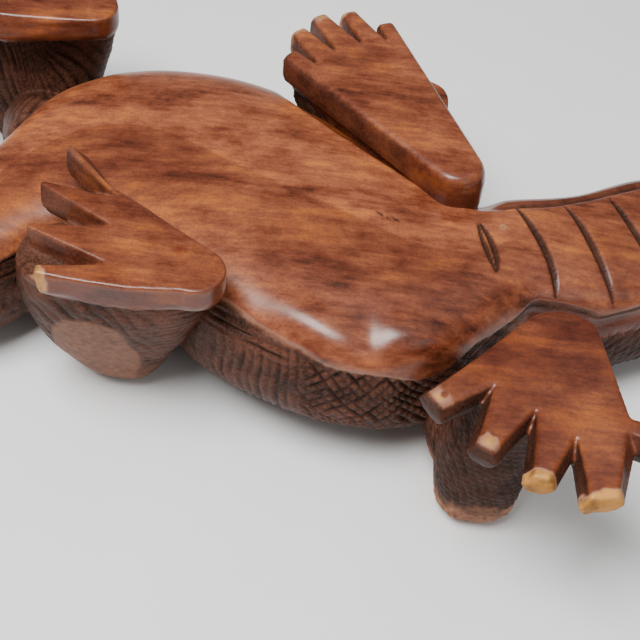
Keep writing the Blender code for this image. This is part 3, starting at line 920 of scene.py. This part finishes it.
@dataclass
class Head:
    """Head and throat on their back: cheek scales, jaw line, throat fold, nostrils and eye sockets."""

    finish: OiledHardwood
    trunk: Trunk
    length: float = 0.085
    width: float = 0.045
    height: float = 0.039
    throat_lift: float = 0.002
    glue: float = 0.0003
    rings: int = 250
    around: int = 220
    scale_pitch: float = 0.0030
    scale_depth: float = 0.0006
    stations: tuple = (
        (0.12, -0.070, 0.430, 0.95, 0.08), (0.30, -0.165, 0.460, 0.98, 0.06),
        (0.46, -0.235, 0.500, 1.00, 0.03), (0.62, -0.285, 0.440, 0.96, 0.08),
        (0.78, -0.320, 0.335, 0.85, 0.18), (0.91, -0.340, 0.225, 0.73, 0.28),
        (1.00, -0.350, 0.120, 0.60, 0.38))

    def rows(self, share: np.ndarray) -> np.ndarray:
        """Flanks, throat and crown at shares of the head's length."""
        near, far, top, bottom = self.trunk.rows(np.array([0.0]))[0]
        middle = 0.5 * (near + far)
        table = [(0.0, middle, 0.5 * (far - near), top, bottom)]
        for at, drift, half, throat, crown in self.stations:
            table.append((at, middle + drift * self.length, half * self.width,
                          throat * self.height + self.throat_lift, crown * self.height))
        return profile(table, share)

    def build(self) -> bpy.types.Object:
        """Sweep and carve the head, its snout closed by rings that shrink on a quarter circle."""
        share = spaced(self.rings, np.array([0.0, 1.0]), np.array([1.0, 1.2]))
        shaped, centre_y, half = SECTION.drawn_in(self.rows(share), 0.955, share)
        angle = np.linspace(-math.pi, math.pi, self.around + 1)[:-1]
        x = -self.glue - share * (self.length - self.glue)
        grid = sweep(x, SECTION.ring(shaped, angle))
        normal = -grid_normals(grid)
        u = np.broadcast_to(share[:, None], grid.shape[:2])
        top, bottom = shaped[:, 2:3], shaped[:, 3:4]
        side = (grid[..., 1] - centre_y) / np.maximum(half, LEAST_THICKNESS)
        aside = np.abs(side)
        height = (grid[..., 2] - bottom) / np.maximum(top - bottom, LEAST_THICKNESS)
        # mouth: one long cut from the snout to below the eye, with a swollen lip on each side
        mouth = height - (0.52 + 0.10 * ease(0.95, 0.55, u))
        reach = ease(0.50, 0.56, u) * ease(0.15, 0.45, aside + ease(0.93, 0.98, u))
        depth = reach * (0.0011 * ridge(mouth, 0.0, 0.022) - 0.0006 * ridge(np.abs(mouth), 0.085, 0.045))
        # jaw rim and dewlap fold on the throat
        upward = ease(0.3, 0.7, normal[..., 2])
        fold = ridge(side, 0.05 * np.sin(9 * u), 0.16) * ease(0.95, 0.80, u) * ease(0.02, 0.20, u)
        jaw = ease(0.20, 0.55, aside) * ease(0.95, 0.60, aside) * ease(0.0, 0.2, u)
        depth += upward * (0.0012 * jaw - 0.0004 * fold)
        # cheeks: one large round scale behind the jaw and small scales round it
        disc = np.hypot((u - 0.40) / 0.075, (height - 0.52) / 0.17)
        flank = ease(0.55, 0.80, aside) * ease(0.98, 0.90, u)
        depth += flank * (0.0008 * ridge(disc, 1.0, 0.20) - 0.0004 * ease(1.0, 0.5, disc))
        drift = ripple(grid, 0.010, 41, 0.9)
        scales = np.maximum(slanted(grid, 0.9, self.scale_pitch, 0.010, drift, 43),
                            slanted(grid, -0.9, self.scale_pitch, 0.010, drift, 47))
        socket = np.hypot((u - 0.50) / 0.075, (height - 0.36) / 0.16)
        bare = np.maximum.reduce([ease(1.25, 1.0, disc), reach * ease(0.16, 0.10, np.abs(mouth)),
                                  ease(0.86, 0.94, u), ease(1.5, 1.2, socket)])
        cut = ease(0.76, 0.70, height) * (1 - bare)
        depth += self.scale_depth * scales * cut
        # raised eyelid ring and nostril pits
        depth -= ease(0.5, 0.8, aside) * 0.0009 * ridge(socket, 1.15, 0.22)
        pit = np.hypot((u - 0.945) / 0.014, (height - 0.40) / 0.06)
        nostril = ease(0.3, 0.5, aside) * ease(1.0, 0.4, pit)
        depth += 0.0012 * nostril
        carved = grid - normal * (depth * ease(0.0, 0.02, u))[..., None]
        # painted shade in the scale cuts, the nostril pits and the mouth cut
        painted_shade = np.maximum(0.9 * scales * cut, np.maximum(nostril, reach * ridge(mouth, 0.0, 0.02)))
        marks = {"matte": np.maximum(cut, nostril), "painted_shade": np.clip(painted_shade, 0, 1),
                 "wear_and_highlight": 0.35 * ease(0.965, 0.995, u),
                 "tone_and_shade": np.clip(0.6 * (cloud(grid, 0.014, 93) - 0.35), 0.0, 1.0)}
        item = tube_object("head_carving", carved + origin(), marks, True)
        item.data.materials.append(self.finish.make("oiled_hardwood_head", math.radians(12)))
        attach(item, "root")
        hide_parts("head")
        return item


@dataclass
class Tail:
    """Tail behind its seam: crescents across the belly side, rims and scratched flanks."""

    finish: OiledHardwood
    trunk: Trunk
    length: float = 0.190
    sway: float = 0.030
    root_width: float = 0.045
    root_height: float = 0.042
    root_centre: float = 0.266 * 0.092
    glue: float = 0.0003
    pitch: float = 0.0125
    rings: int = 440
    around: int = 150
    crescent_depth: float = 0.0008
    scratch_depth: float = 0.0005
    stations: tuple = (
        (0.13, 0.36, 0.85, 0.87, 0.02), (0.26, 0.66, 0.71, 0.75, 0.02), (0.40, 0.80, 0.57, 0.63, 0.01),
        (0.53, 0.74, 0.46, 0.52, 0.01), (0.66, 0.50, 0.36, 0.42, 0.01), (0.79, 0.10, 0.27, 0.33, 0.02),
        (0.91, -0.40, 0.18, 0.24, 0.03), (1.00, -0.85, 0.09, 0.16, 0.05))

    def rows(self, share: np.ndarray) -> np.ndarray:
        """Flanks, top and bottom at shares of the tail's length."""
        near, far, top, bottom = self.trunk.rows(np.array([self.trunk.length]))[0]
        table = [(0.0, self.root_centre, 0.5 * (far - near), top, bottom)]
        for at, drift, width, high, low in self.stations:
            table.append((at, self.root_centre + drift * self.sway, 0.5 * width * self.root_width,
                          high * self.root_height, low * self.root_height))
        return profile(table, share)

    def build(self) -> bpy.types.Object:
        """Sweep the tail and carve crescents at a steady pitch that fade into its thin end."""
        share = np.linspace(0.0, 1.0, self.rings)
        shaped, centre_y, half = SECTION.drawn_in(self.rows(share), 0.985, share)
        angle = spaced(self.around + 1, np.radians([-180, -110, -70, 0, 70, 110, 180]),
                       np.array([1.5, 0.8, 0.8, 1.5, 0.8, 0.8, 1.5]))[:-1]
        x = self.trunk.length + self.glue + share * (self.length - self.glue)
        grid = sweep(x, SECTION.ring(shaped, angle))
        normal = grid_normals(grid)
        top, bottom = shaped[:, 2:3], shaped[:, 3:4]
        side = (grid[..., 1] - centre_y) / np.maximum(half, LEAST_THICKNESS)
        width = np.broadcast_to(half, side.shape)
        upward = ease(0.25, 0.55, normal[..., 2])
        # crescents: bowed lines at a steady pitch along the middle line
        steps = np.hypot(np.diff(x), np.diff(centre_y[:, 0]))
        travelled = np.concatenate([[0.0], np.cumsum(steps)])[:, None]
        phase = (travelled + width * (0.55 * side + 0.35 * side ** 2)) / self.pitch + 0.15
        off = np.abs(phase - np.round(phase)) * self.pitch
        taper = np.clip(1.0 - (side / 0.78) ** 2, 0.0, 1.0) ** 0.45
        reach = (0.00055 + 0.00045 * width / 0.022) * taper
        ratio = off / np.maximum(reach, LEAST_REACH)
        here = ease(0.985, 0.95, share)[:, None] * (phase > 0.5)
        crescent = ease(1.1, 0.75, ratio) * upward * here * (taper > 0.02)
        depth = self.crescent_depth * blunt_vee(ratio) * upward * here * taper
        # rims, and scratches on the flanks below them
        low = (top - grid[..., 2]) / np.maximum(top - bottom, LEAST_THICKNESS)
        channel = ridge(np.abs(side), 0.86, 0.035) * upward * ease(1.0, 0.9, share)[:, None]
        depth += 0.0006 * channel
        cut = ease(0.26, 0.34, low)
        drift = ripple(grid, 0.012, 53, 0.9)
        scratch = np.maximum(slanted(grid, 0.8, 0.0026, 0.010, drift, 59),
                             0.8 * slanted(grid, -1.0, 0.0028, 0.010, drift, 61))
        depth += self.scratch_depth * scratch * cut
        thin = ease(0.0, 0.01, share)[:, None] * np.minimum(1.0, width / 0.008)
        carved = grid - normal * (depth * thin)[..., None]
        # painted shade in the scratches and the rim channel
        marks = {"matte": np.maximum.reduce([cut, crescent, 0.9 * channel]),
                 "painted_shade": np.clip(np.maximum(0.9 * scratch * cut, 0.5 * channel), 0, 1),
                 "wear_and_highlight": np.broadcast_to(0.5 * ease(0.975, 0.995, share)[:, None], side.shape),
                 "tone_and_shade": np.clip(0.35 + 0.3 * (cloud(grid, 0.016, 91) - 0.6), 0.0, 1.0)}
        item = tube_object("tail_carving", carved + origin(), marks)
        item.data.materials.append(self.finish.make("oiled_hardwood_tail", math.radians(6)))
        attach(item, "root")
        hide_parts("tail")
        return item


# ---------------------------------------------------------------- legs

@dataclass(frozen=True)
class FootPlan:
    """Outline of a foot seen square to its sole: along the toes, then to their left.

    levels holds, for each depth below the sole: how much each toe is wider per side, how far
    the notches lie further out, how far the tips are drawn back and the heel is drawn in.
    near_share is how much of the widening the toes' left side gets. The pair of side shares gives how matte,
    and how dark by painted shade, the toes' walls are, then how much painted shade darkens the band along the
    foot's sides; wall is how far down the smooth foot goes and sanding how often it is smoothed.
    A foot with thigh_rings also has a thigh under its heel, square to thigh_corners.
    """

    heel: tuple
    toes: tuple
    notches: tuple
    web: tuple = ()
    shoulder: tuple = ()
    levels: tuple = ((0.0, 0.0, 0.0, 0.0, 0.0),)
    near_share: float = 1.0
    tone_and_shade: float = 0.3
    gold_end: tuple = ()
    gold_top: tuple = ()
    grey_end: tuple = ()
    # how matte and shaded the toe walls are, then how much painted shade darkens the foot's sides
    matte_and_shaded_sides: tuple = (0.45, 0.80)
    wall: float = 0.007
    sanding: int = 5
    thigh_corners: tuple = ()
    thigh_rings: tuple = ()

    def outline(self, widen: float, outward: float, draw_back: float, inset: float) -> np.ndarray:
        """Closed outline at one depth: heel arc, then toe corners and notches in turn.

        Args:
            widen: Extra half width of each toe.
            outward: Shift of each notch towards the tips.
            draw_back: Shift of each tip towards the heel.
            inset: How much smaller the heel's radius is.

        Returns:
            Points by 2.
        """
        along, across, radius, first, last = self.heel
        arc = np.radians(np.linspace(first, last, 15))
        round_heel = (radius - inset) * np.stack([np.cos(arc), np.sin(arc)], 1)
        points = [np.array([along, across]) + round_heel]
        if self.shoulder:
            points.append(np.array(self.shoulder) - np.array([0.0, widen]))
        tips = np.array([toe[:2] for toe in self.toes])
        lean = tips / np.linalg.norm(tips, axis=1, keepdims=True)
        for index, (a, c, width) in enumerate(self.toes):
            turn = lean[index, 1] if self.near_share == 1.0 else min(lean[index, 1], 0.0)
            left = np.array([-turn, math.sqrt(1.0 - turn ** 2)])
            tip = np.array([a, c]) - lean[index] * draw_back
            points.append(np.array([tip - left * max(width / 2 + widen, 0.0002),
                                    tip + left * max(width / 2 + widen * self.near_share, 0.0002)]))
            if index < len(self.notches):
                notch = np.array(self.notches[index])
                middle, edge = lean[index] + lean[index + 1], tips[index] - notch
                heading = self.near_share * middle / np.linalg.norm(middle)
                heading = heading + (1.0 - self.near_share) * edge / np.linalg.norm(edge)
                points.append((notch + heading / np.linalg.norm(heading) * outward)[None])
        if self.web:
            points.append(np.array(self.web))
        return np.concatenate(points)


CLAWED = FootPlan(
    heel=(-0.0083, 0.0074, 0.0072, 75, 228),
    toes=((0.0289, -0.0286, 0.0009), (0.0323, -0.0145, 0.0009), (0.0321, 0.0000, 0.0009),
          (0.0270, 0.0132, 0.0022)),
    notches=((0.0125, -0.0118), (0.0112, -0.0026), (0.0100, 0.0092)),
    web=((0.0165, 0.0154), (0.0060, 0.0158)),
    shoulder=((0.0050, -0.0095), (0.0160, -0.0162)),
    levels=((0.0, 0.0, 0.0, 0.0, 0.0), (0.0028, 0.0020, 0.0050, 0.0003, 0.0),
            (0.0056, 0.0042, 0.0100, 0.0010, 0.0), (0.0076, 0.0036, 0.0105, 0.0030, 0.0006)),
    near_share=0.35, gold_end=(3,), tone_and_shade=0.55)
SPREAD = FootPlan(
    heel=(0.0025, 0.0025, 0.0105, 130, 226),
    toes=((0.0222, -0.0262, 0.0040), (0.0331, -0.0152, 0.0030), (0.0386, -0.0036, 0.0030),
          (0.0415, 0.0092, 0.0056), (0.0277, 0.0338, 0.0062)),
    notches=((0.0150, -0.0124), (0.0199, -0.0037), (0.0258, 0.0042), (0.0240, 0.0150)),
    web=((0.0205, 0.0160),),
    levels=((0.0, 0.0, 0.0, 0.0, 0.0002), (0.0034, 0.0021, 0.0042, -0.0003, 0.0),
            (0.0058, 0.0010, 0.0034, 0.0003, 0.0), (0.0084, -0.0008, 0.0010, 0.0014, 0.0010)),
    gold_end=(2, 3), gold_top=(0, 1), grey_end=(0, 1), tone_and_shade=0.78, matte_and_shaded_sides=(1.0, 0.95))
LONG = FootPlan(
    heel=(0.0018, -0.0015, 0.0072, 100, 255),
    toes=((0.0600, -0.0168, 0.0048), (0.0680, -0.0092, 0.0048), (0.0712, -0.0005, 0.0048),
          (0.0690, 0.0082, 0.0048), (0.0600, 0.0150, 0.0048)),
    notches=((0.0490, -0.0120), (0.0512, -0.0047), (0.0512, 0.0036), (0.0490, 0.0104)),
    levels=((0.0, -0.0014, -0.0008, 0.0010, 0.0020), (0.0006, -0.0004, 0.0004, 0.0003, 0.0009),
            (0.0020, 0.0003, 0.0016, 0.0, 0.0001), (0.0060, 0.0005, 0.0022, 0.0002, -0.0004),
            (0.0085, 0.0002, 0.0014, 0.0010, -0.0004)),
    gold_end=(1, 3), gold_top=(2,), grey_end=(0, 2, 4), wall=0.0125, sanding=12,
    thigh_corners=((0.0575, -0.0150), (0.0500, 0.0105)),
    thigh_rings=((0.030, 0.88), (0.040, 1.02), (0.046, 1.05), (0.0530, 1.04)))

CONE = ((0.00, 0.0000, 0.0000, 0.0042, 0.0042), (0.08, 0.0008, 0.0004, 0.0086, 0.0074),
        (0.30, 0.0026, 0.0022, 0.0158, 0.0104), (0.60, 0.0014, 0.0054, 0.0214, 0.0126),
        (0.88, 0.0002, 0.0088, 0.0232, 0.0128), (1.00, -0.0002, 0.0096, 0.0226, 0.0122))
STUMP = ((0.00, 0.0000, 0.0000, 0.0063, 0.0063), (0.06, 0.0000, 0.0000, 0.0094, 0.0092),
         (0.20, 0.0000, 0.0000, 0.0108, 0.0106), (0.55, 0.0010, 0.0005, 0.0112, 0.0108),
         (0.80, -0.0012, 0.0015, 0.0102, 0.0098), (1.00, -0.0035, 0.0030, 0.0090, 0.0088))


@dataclass
class Leg:
    """One leg: round upper limb, worn knee, upright column and a flat foot with faceted toes."""

    name: str
    side: Side
    root: float
    lift: float
    knee_from_root: tuple
    foot_from_knee: tuple
    heading: float
    flip: int
    plan: FootPlan
    column: tuple
    radius: float
    finish: OiledHardwood
    trunk: Trunk
    root_depth: float = 0.012
    sole: float = 0.057
    slab: float = 0.007
    voxel: float = 0.00042
    worn_knee: float = 0.8
    bury: float = 0.0015
    squareness: float = 2.4

    def places(self) -> tuple[np.ndarray, np.ndarray]:
        """Where the limb starts inside the body, and the middle of its knee."""
        x = self.root * self.trunk.length
        near, far = self.trunk.rows(np.array([x]))[0][:2]
        flank = near if self.side is Side.NEAR else far
        start = np.array([x, flank - self.side.value * self.root_depth, self.lift * self.trunk.height])
        knee = np.array([x + self.knee_from_root[0], flank + self.side.value * self.knee_from_root[1],
                         self.radius])
        return start, knee

    def axes(self, knee: np.ndarray) -> tuple[np.ndarray, np.ndarray, np.ndarray]:
        """Foot's zero, its direction along the toes and its direction across them, in plan."""
        turn = math.radians(self.heading)
        along = np.array([math.cos(turn), math.sin(turn)])
        return knee[:2] + np.array(self.foot_from_knee), along, np.array([-along[1], along[0]]) * self.flip

    def foot(self, knee: np.ndarray) -> tuple[np.ndarray, list]:
        """Foot solid: its outlines at rising heights joined by flat facets."""
        zero, along, across = self.axes(knee)
        rings = []
        for depth, *shape in self.plan.levels[::-1]:
            outline = self.plan.outline(*shape)
            flat = zero + outline[:, :1] * along + outline[:, 1:] * across
            rings.append(np.column_stack([flat, np.full(len(flat), self.sole - depth)]))
        grid = np.array(rings)
        return loft_mesh(grid if self.turns_left(grid[0]) else grid[:, ::-1])

    @staticmethod
    def turns_left(ring: np.ndarray) -> bool:
        """Whether a ring runs counter-clockwise seen from above, by its signed area."""
        x, y = ring[:, 0], ring[:, 1]
        return float(np.sum(x * np.roll(y, -1) - np.roll(x, -1) * y)) > 0.0

    def post(self, knee: np.ndarray) -> tuple[np.ndarray, list]:
        """Column solid: squarish ellipses whose centre and half widths follow the column's stations."""
        rows = hermite(np.array(self.column), np.linspace(0.0, 1.0, 30))
        angle = np.linspace(0.0, 2.0 * math.pi, 49)[:-1]
        height = self.sole - self.slab + self.bury
        cosine, sine = np.cos(angle), np.sin(angle)
        power = 2.0 / self.squareness
        x = knee[0] - rows[:, 1:2] + rows[:, 3:4] * np.sign(cosine) * np.abs(cosine) ** power
        y = knee[1] + self.side.value * rows[:, 2:3] + rows[:, 4:5] * np.sign(sine) * np.abs(sine) ** power
        z = np.broadcast_to(rows[:, :1] * height, x.shape)
        return loft_mesh(np.stack([x, y, z], axis=-1))

    def limb(self, start: np.ndarray, knee: np.ndarray) -> tuple[np.ndarray, list]:
        """Upper limb solid: circles from inside the body to the knee, a little thinner at both ends."""
        axis = (knee - start) / np.linalg.norm(knee - start)
        flat = np.cross(axis, [0.0, 0.0, 1.0])
        flat /= np.linalg.norm(flat)
        rise = np.cross(axis, flat)
        share = np.linspace(0.0, 1.0, 18)[:, None, None]
        angle = np.linspace(0.0, 2.0 * math.pi, 49)[:-1][None, :, None]
        radius = self.radius * (0.98 - 0.18 * (2.0 * share - 1.0) ** 2)
        around = flat * np.cos(angle) + rise * np.sin(angle)
        return loft_mesh(start + (knee - start) * share + radius * around)

    def thigh(self, knee: np.ndarray) -> tuple[np.ndarray, list]:
        """Thigh solid under the heel half of the long foot, narrower towards the knee."""
        zero, along, across = self.axes(knee)
        a, c, radius, first, last = self.plan.heel
        turn = np.radians(np.linspace(first, last, 15))
        heel = np.stack([a + radius * np.cos(turn), c + radius * np.sin(turn)], 1)
        plan = np.concatenate([heel, np.array(self.plan.thigh_corners)])
        flat = zero + plan[:, :1] * along + plan[:, 1:] * across
        middle = flat.mean(0)
        rings = np.array([np.column_stack([middle + (flat - middle) * share, np.full(len(flat), z)])
                          for z, share in self.plan.thigh_rings])
        return loft_mesh(rings if self.turns_left(rings[0]) else rings[:, ::-1])

    def toe_marks(self, a: np.ndarray, c: np.ndarray, depth: np.ndarray,
                  at: np.ndarray) -> tuple[np.ndarray, np.ndarray]:
        """Golden wear and grey end grain on the toe tips.

        Args:
            a: Distance along the toes.
            c: Distance across them.
            depth: Depth below the sole.
            at: Positions, for the ragged edge of the wear.

        Returns:
            Wear and end-grain masks.
        """
        wear_and_highlight, grey = np.zeros_like(a), np.zeros_like(a)
        ragged = ripple(at, 0.0016, 71, 0.0018)
        for index, (tip_a, tip_c, width) in enumerate(self.plan.toes):
            reach = math.hypot(tip_a, tip_c)
            out = (a * tip_a + c * tip_c) / reach - reach
            aside = np.abs(a * -tip_c + c * tip_a) / reach
            on_toe = ease(width / 2 + 0.0026, width / 2 + 0.0016, aside)
            end = ease(-0.0013, -0.0005, out + ragged) * on_toe
            if index in self.plan.gold_end:
                wear_and_highlight = np.maximum(wear_and_highlight, ease(-0.0022, -0.0012, out + ragged) * on_toe)
            if index in self.plan.grey_end:
                grey = np.maximum(grey, 0.85 * end)
            if index in self.plan.gold_top:
                patch = ease(-0.0038, -0.0026, out + 2.0 * ragged) * ease(-0.0003, -0.0010, out) * on_toe
                patch = patch * (0.4 + 0.6 * ease(0.0008, -0.0008, aside - 0.0012))
                wear_and_highlight = np.maximum(wear_and_highlight, 0.9 * patch * ease(0.0012, 0.0004, depth))
        return wear_and_highlight, grey

    def dress(self, item: bpy.types.Object, knee: np.ndarray) -> None:
        """Cut strokes into the column and limb, and mark the worn, matte and painted-shade places.

        Args:
            item: The fused skin.
            knee: Middle of the knee.
        """
        points, normals = read_skin(item)
        at = points - origin()
        zero, along, across = self.axes(knee)
        a, c = (at[:, :2] - zero) @ along, (at[:, :2] - zero) @ across
        depth = self.sole - at[:, 2]
        below = ease(self.plan.wall - 0.0006, self.plan.wall + 0.0008, depth)
        wear_and_highlight, grey = self.toe_marks(a, c, depth, at)
        round_about = np.arctan2(at[:, 1] - knee[1], at[:, 0] - knee[0]) * 0.011
        drift = ripple(at, 0.009, 73, 1.2)
        leaning = gouges((round_about + 0.35 * at[:, 2]) / 0.0021 + drift, at[:, 2] / 0.008, 79)
        level = gouges((at[:, 2] + 0.30 * round_about) / 0.0019 + drift, round_about / 0.009, 83)
        if self.plan is CLAWED:
            facing = ease(0.15, 0.5, normals[:, 0] * 0.55 + normals[:, 1] * self.side.value * 0.2)
            strokes = leaning * (1 - facing) + 0.75 * level * facing
            strength = 0.00045
        else:
            strokes = np.maximum(leaning, 0.7 * level)
            strength = 0.00070
        cut = below * ease(-0.2, 0.1, 1.0 - np.abs(normals[:, 2]) * 0.6)
        sink = strength * strokes * cut + below * ripple(at, 0.0035, 89, 0.0006)
        sole_edge = ease(0.6, 0.9, normals[:, 2]) * (1 - below)
        sink += sole_edge * ripple(at, 0.014, 97, 0.0003)
        knee_wear = below * ease(0.0125, 0.0070, at[:, 2] + ripple(at, 0.004, 101, 0.006))
        wall_matte_and_shade, side_shade_share = self.plan.matte_and_shaded_sides
        # toe walls: matte cut, and darkened by painted shade in the gouges between the toes
        walls = ease(0.80, 0.45, normals[:, 2]) * ease(0.0003, 0.0010, depth) * ease(0.009, 0.015, a)
        walls = walls * wall_matte_and_shade
        # the whole foot darker by a share set in its plan, unevenly; then painted shade on the band along its
        # sides, just below the sole
        tone_and_shade = np.clip(self.plan.tone_and_shade + ripple(at, 0.011, 103, 0.55) + ripple(at, 0.004, 105, 0.25), 0, 1)
        shaded_side_band = ease(0.0006, 0.0016, depth) * ease(0.9, 0.6, normals[:, 2])
        tone_and_shade = np.maximum(tone_and_shade, side_shade_share * shaded_side_band)
        rubbed = self.worn_knee * (0.25 + 0.55 * cloud(at, 0.0010, 111)) * knee_wear
        if self.plan is CLAWED:
            walls = walls * ease(0.0150, 0.0135, c)
            valley = ease(0.0042, 0.0050, depth) * ease(0.3, 0.6, normals[:, 2])
            blotch = ridge(a, -0.0040, 0.0030) * ridge(c, 0.0020, 0.0022) * sole_edge
            tone_and_shade = np.maximum(tone_and_shade, 0.95 * blotch)
            u, near = at[:, 0] - knee[0], (at[:, 1] - knee[1]) * self.side.value
            oval = np.hypot((u + 0.0050) / 0.0112, (at[:, 2] - 0.0210) / 0.0215)
            bare = ease(1.04, 0.94, oval + ripple(at, 0.006, 107, 0.16)) * ease(-0.002, 0.001, near) * below
            sink = sink * (1 - 0.85 * bare)
            rubbed = np.maximum(rubbed * 0.4, (0.10 + 0.22 * cloud(at, 0.0009, 109)) * bare)
            wear_and_highlight = wear_and_highlight * ease(0.0060, 0.0048, depth)
            grey = np.maximum(grey, valley)
        # painted shade in the stroke floors and on the toe walls
        painted_shade = np.clip(np.maximum(1.25 * strokes * cut - 0.1, 0.55 * walls), 0, 1)
        marks = {"matte": np.clip(np.maximum.reduce([below, grey, walls]), 0, 1), "tone_and_shade": tone_and_shade,
                 "painted_shade": painted_shade * (1 - np.clip(2.2 * rubbed, 0, 0.9)),
                 "wear_and_highlight": np.clip(np.maximum(wear_and_highlight, rubbed), 0, 1)}
        write_skin(item, points - normals * sink[:, None], marks)

    def build(self) -> bpy.types.Object:
        """Fuse foot, column and limb, then carve and mark the skin."""
        start, knee = self.places()
        solids = [self.foot(knee), self.post(knee), self.limb(start, knee)]
        if self.plan.thigh_rings:
            solids.append(self.thigh(knee))
        item = fused(self.name + "_carving", [(p + origin(), f) for p, f in solids], self.voxel,
                     self.plan.sanding)
        self.dress(item, knee)
        item.data.materials.append(self.finish.make("oiled_hardwood_" + self.name))
        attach(item, "root")
        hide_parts(self.name)
        return item


@dataclass
class Eyes:
    """Two turned beads in the head's sockets."""

    finish: BlackBead
    radius: float = 0.00425

    def build(self) -> list[bpy.types.Object]:
        """Bead grids: a ball whose outer cap is drawn out by three hundredths of its radius."""
        made = []
        for node in ("eye_near", "eye_far"):
            low, high = (np.array(corner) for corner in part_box(node))
            centre = 0.5 * (low + high)
            tilt = np.linspace(0.02, math.pi - 0.02, 40)[:, None]
            turn = np.linspace(0.0, 2.0 * math.pi, 65)[None, :-1]
            side = -1.0 if "near" in node else 1.0
            ball = np.stack([-np.cos(tilt) * np.ones_like(turn), np.sin(tilt) * np.cos(turn),
                             np.sin(tilt) * np.sin(turn)], axis=-1)
            swell = 1.0 + 0.03 * ease(0.80, 1.0, side * ball[..., 1])
            grid = centre + ball * (self.radius * swell)[..., None]
            item = tube_object(node + "_bead", grid, {})
            item.data.materials.append(self.finish.make("black_bead_" + node))
            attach(item, "root")
            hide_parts(node)
            made.append(item)
        return made


@dataclass
class Studio:
    """Pale floor, soft lights and the camera."""

    floor: PaleFloor
    lens: float = 67.6
    place: tuple = (0.105, -0.215, 0.2573)
    look_down: float = 49.0
    roll: float = 7.06
    sensor: float = 36.0
    aim: tuple = (0.105, 0.0, 0.02)
    room: float = 0.24
    room_tint: tuple = (1.0, 0.99, 0.97, 1.0)
    reach: float = 2.0
    tiles: int = 8
    floor_drop: float = 0.0001
    lights: tuple = (
        ("key", (-0.20, -0.20, 0.72), 0.36, 9.5), ("overhead", (0.20, 0.10, 0.95), 0.90, 1.6),
        ("window", (0.55, -0.55, 0.60), 0.50, 1.2))

    def build(self) -> None:
        """Lay the floor, hang the lights and set the camera."""
        span = np.linspace(-self.reach, self.reach, self.tiles + 1)
        x, y = np.meshgrid(span, span, indexing="ij")
        i, j = np.meshgrid(np.arange(self.tiles), np.arange(self.tiles), indexing="ij")
        row, first = self.tiles + 1, i * (self.tiles + 1) + j
        faces = np.stack([first, first + row, first + row + 1, first + 1], -1).reshape(-1, 4)
        points = np.column_stack([x.ravel(), y.ravel(), np.full(x.size, CAD_BOX[0][2] - self.floor_drop)])
        floor = mesh_object("floor", points, faces.tolist(), {})
        floor.data.materials.append(self.floor.make("pale_floor"))
        aim = Vector(origin() + np.array(self.aim))
        for name, place, size, power in self.lights:
            lamp = bpy.data.lights.new(name, "AREA")
            lamp.shape, lamp.size, lamp.energy = "SQUARE", size, power
            holder = bpy.data.objects.new(name, lamp)
            holder.location = Vector(origin() + np.array([self.aim[0], 0.0, 0.0])) + Vector(place)
            holder.rotation_euler = (aim - holder.location).to_track_quat("-Z", "Y").to_euler()
            bpy.context.scene.collection.objects.link(holder)
        world = bpy.data.worlds.new("room")
        world.use_nodes = True
        sky = world.node_tree.nodes["Background"].inputs
        sky["Color"].default_value, sky["Strength"].default_value = self.room_tint, self.room
        bpy.context.scene.world = world
        down, roll = math.radians(self.look_down), math.radians(self.roll)
        s, c = math.sin(roll), math.cos(roll)
        right = Vector((c, s * math.sin(down), s * math.cos(down)))
        up = Vector((-s, c * math.sin(down), c * math.cos(down)))
        back = right.cross(up)
        eye = bpy.data.cameras.new("camera")
        eye.lens, eye.sensor_width, eye.clip_start = self.lens, self.sensor, 0.01
        camera = bpy.data.objects.new("camera", eye)
        turn = Matrix((right, up, back)).transposed().to_4x4()
        camera.matrix_world = Matrix.Translation(Vector(origin() + np.array(self.place))) @ turn
        bpy.context.scene.collection.objects.link(camera)
        bpy.context.scene.camera = camera


def legs(wood: OiledHardwood, trunk: Trunk) -> list[Leg]:
    """The four legs and where each stands on the body."""
    front, hind = (CONE, 0.0115), (STUMP, 0.0120)
    table = (
        ("front_leg_near", Side.NEAR, 0.150, 0.62, (0.0247, 0.0020), (0.0116, -0.0070),
         180, 1, CLAWED, *front),
        ("front_leg_far", Side.FAR, 0.110, 0.62, (-0.0100, 0.0200), (0.0080, -0.0040),
         152, -1, CLAWED, *front),
        ("hind_leg_near", Side.NEAR, 0.695, 0.40, (0.0060, 0.0140), (0.0085, 0.0078),
         270, 1, SPREAD, *hind),
        ("hind_leg_far", Side.FAR, 0.640, 0.40, (-0.0110, 0.0189), (0.0170, -0.0282),
         127, -1, LONG, *hind))
    return [Leg(*row, wood, trunk) for row in table]


def main() -> None:
    """Build every piece in order and dress the hidden pegs."""
    logging.basicConfig(level=logging.INFO, format="%(message)s")
    wood = OiledHardwood()
    trunk = Trunk(wood)
    builders = [trunk, Head(wood, trunk), Tail(wood, trunk), *legs(wood, trunk)]
    for builder in builders:
        item = builder.build()
        LOG.info("%s: %d faces", item.name, len(item.data.polygons))
    for bead in Eyes(BlackBead()).build():
        LOG.info("%s: %d faces", bead.name, len(bead.data.polygons))
    peg = PegWood().make("peg_wood_grain")
    for name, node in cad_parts.items():
        if name.endswith("_peg") or "_peg_" in name:
            for slot in node.material_slots:
                slot.material = peg
    Studio(PaleFloor()).build()


if __name__ == "__main__":
    main()
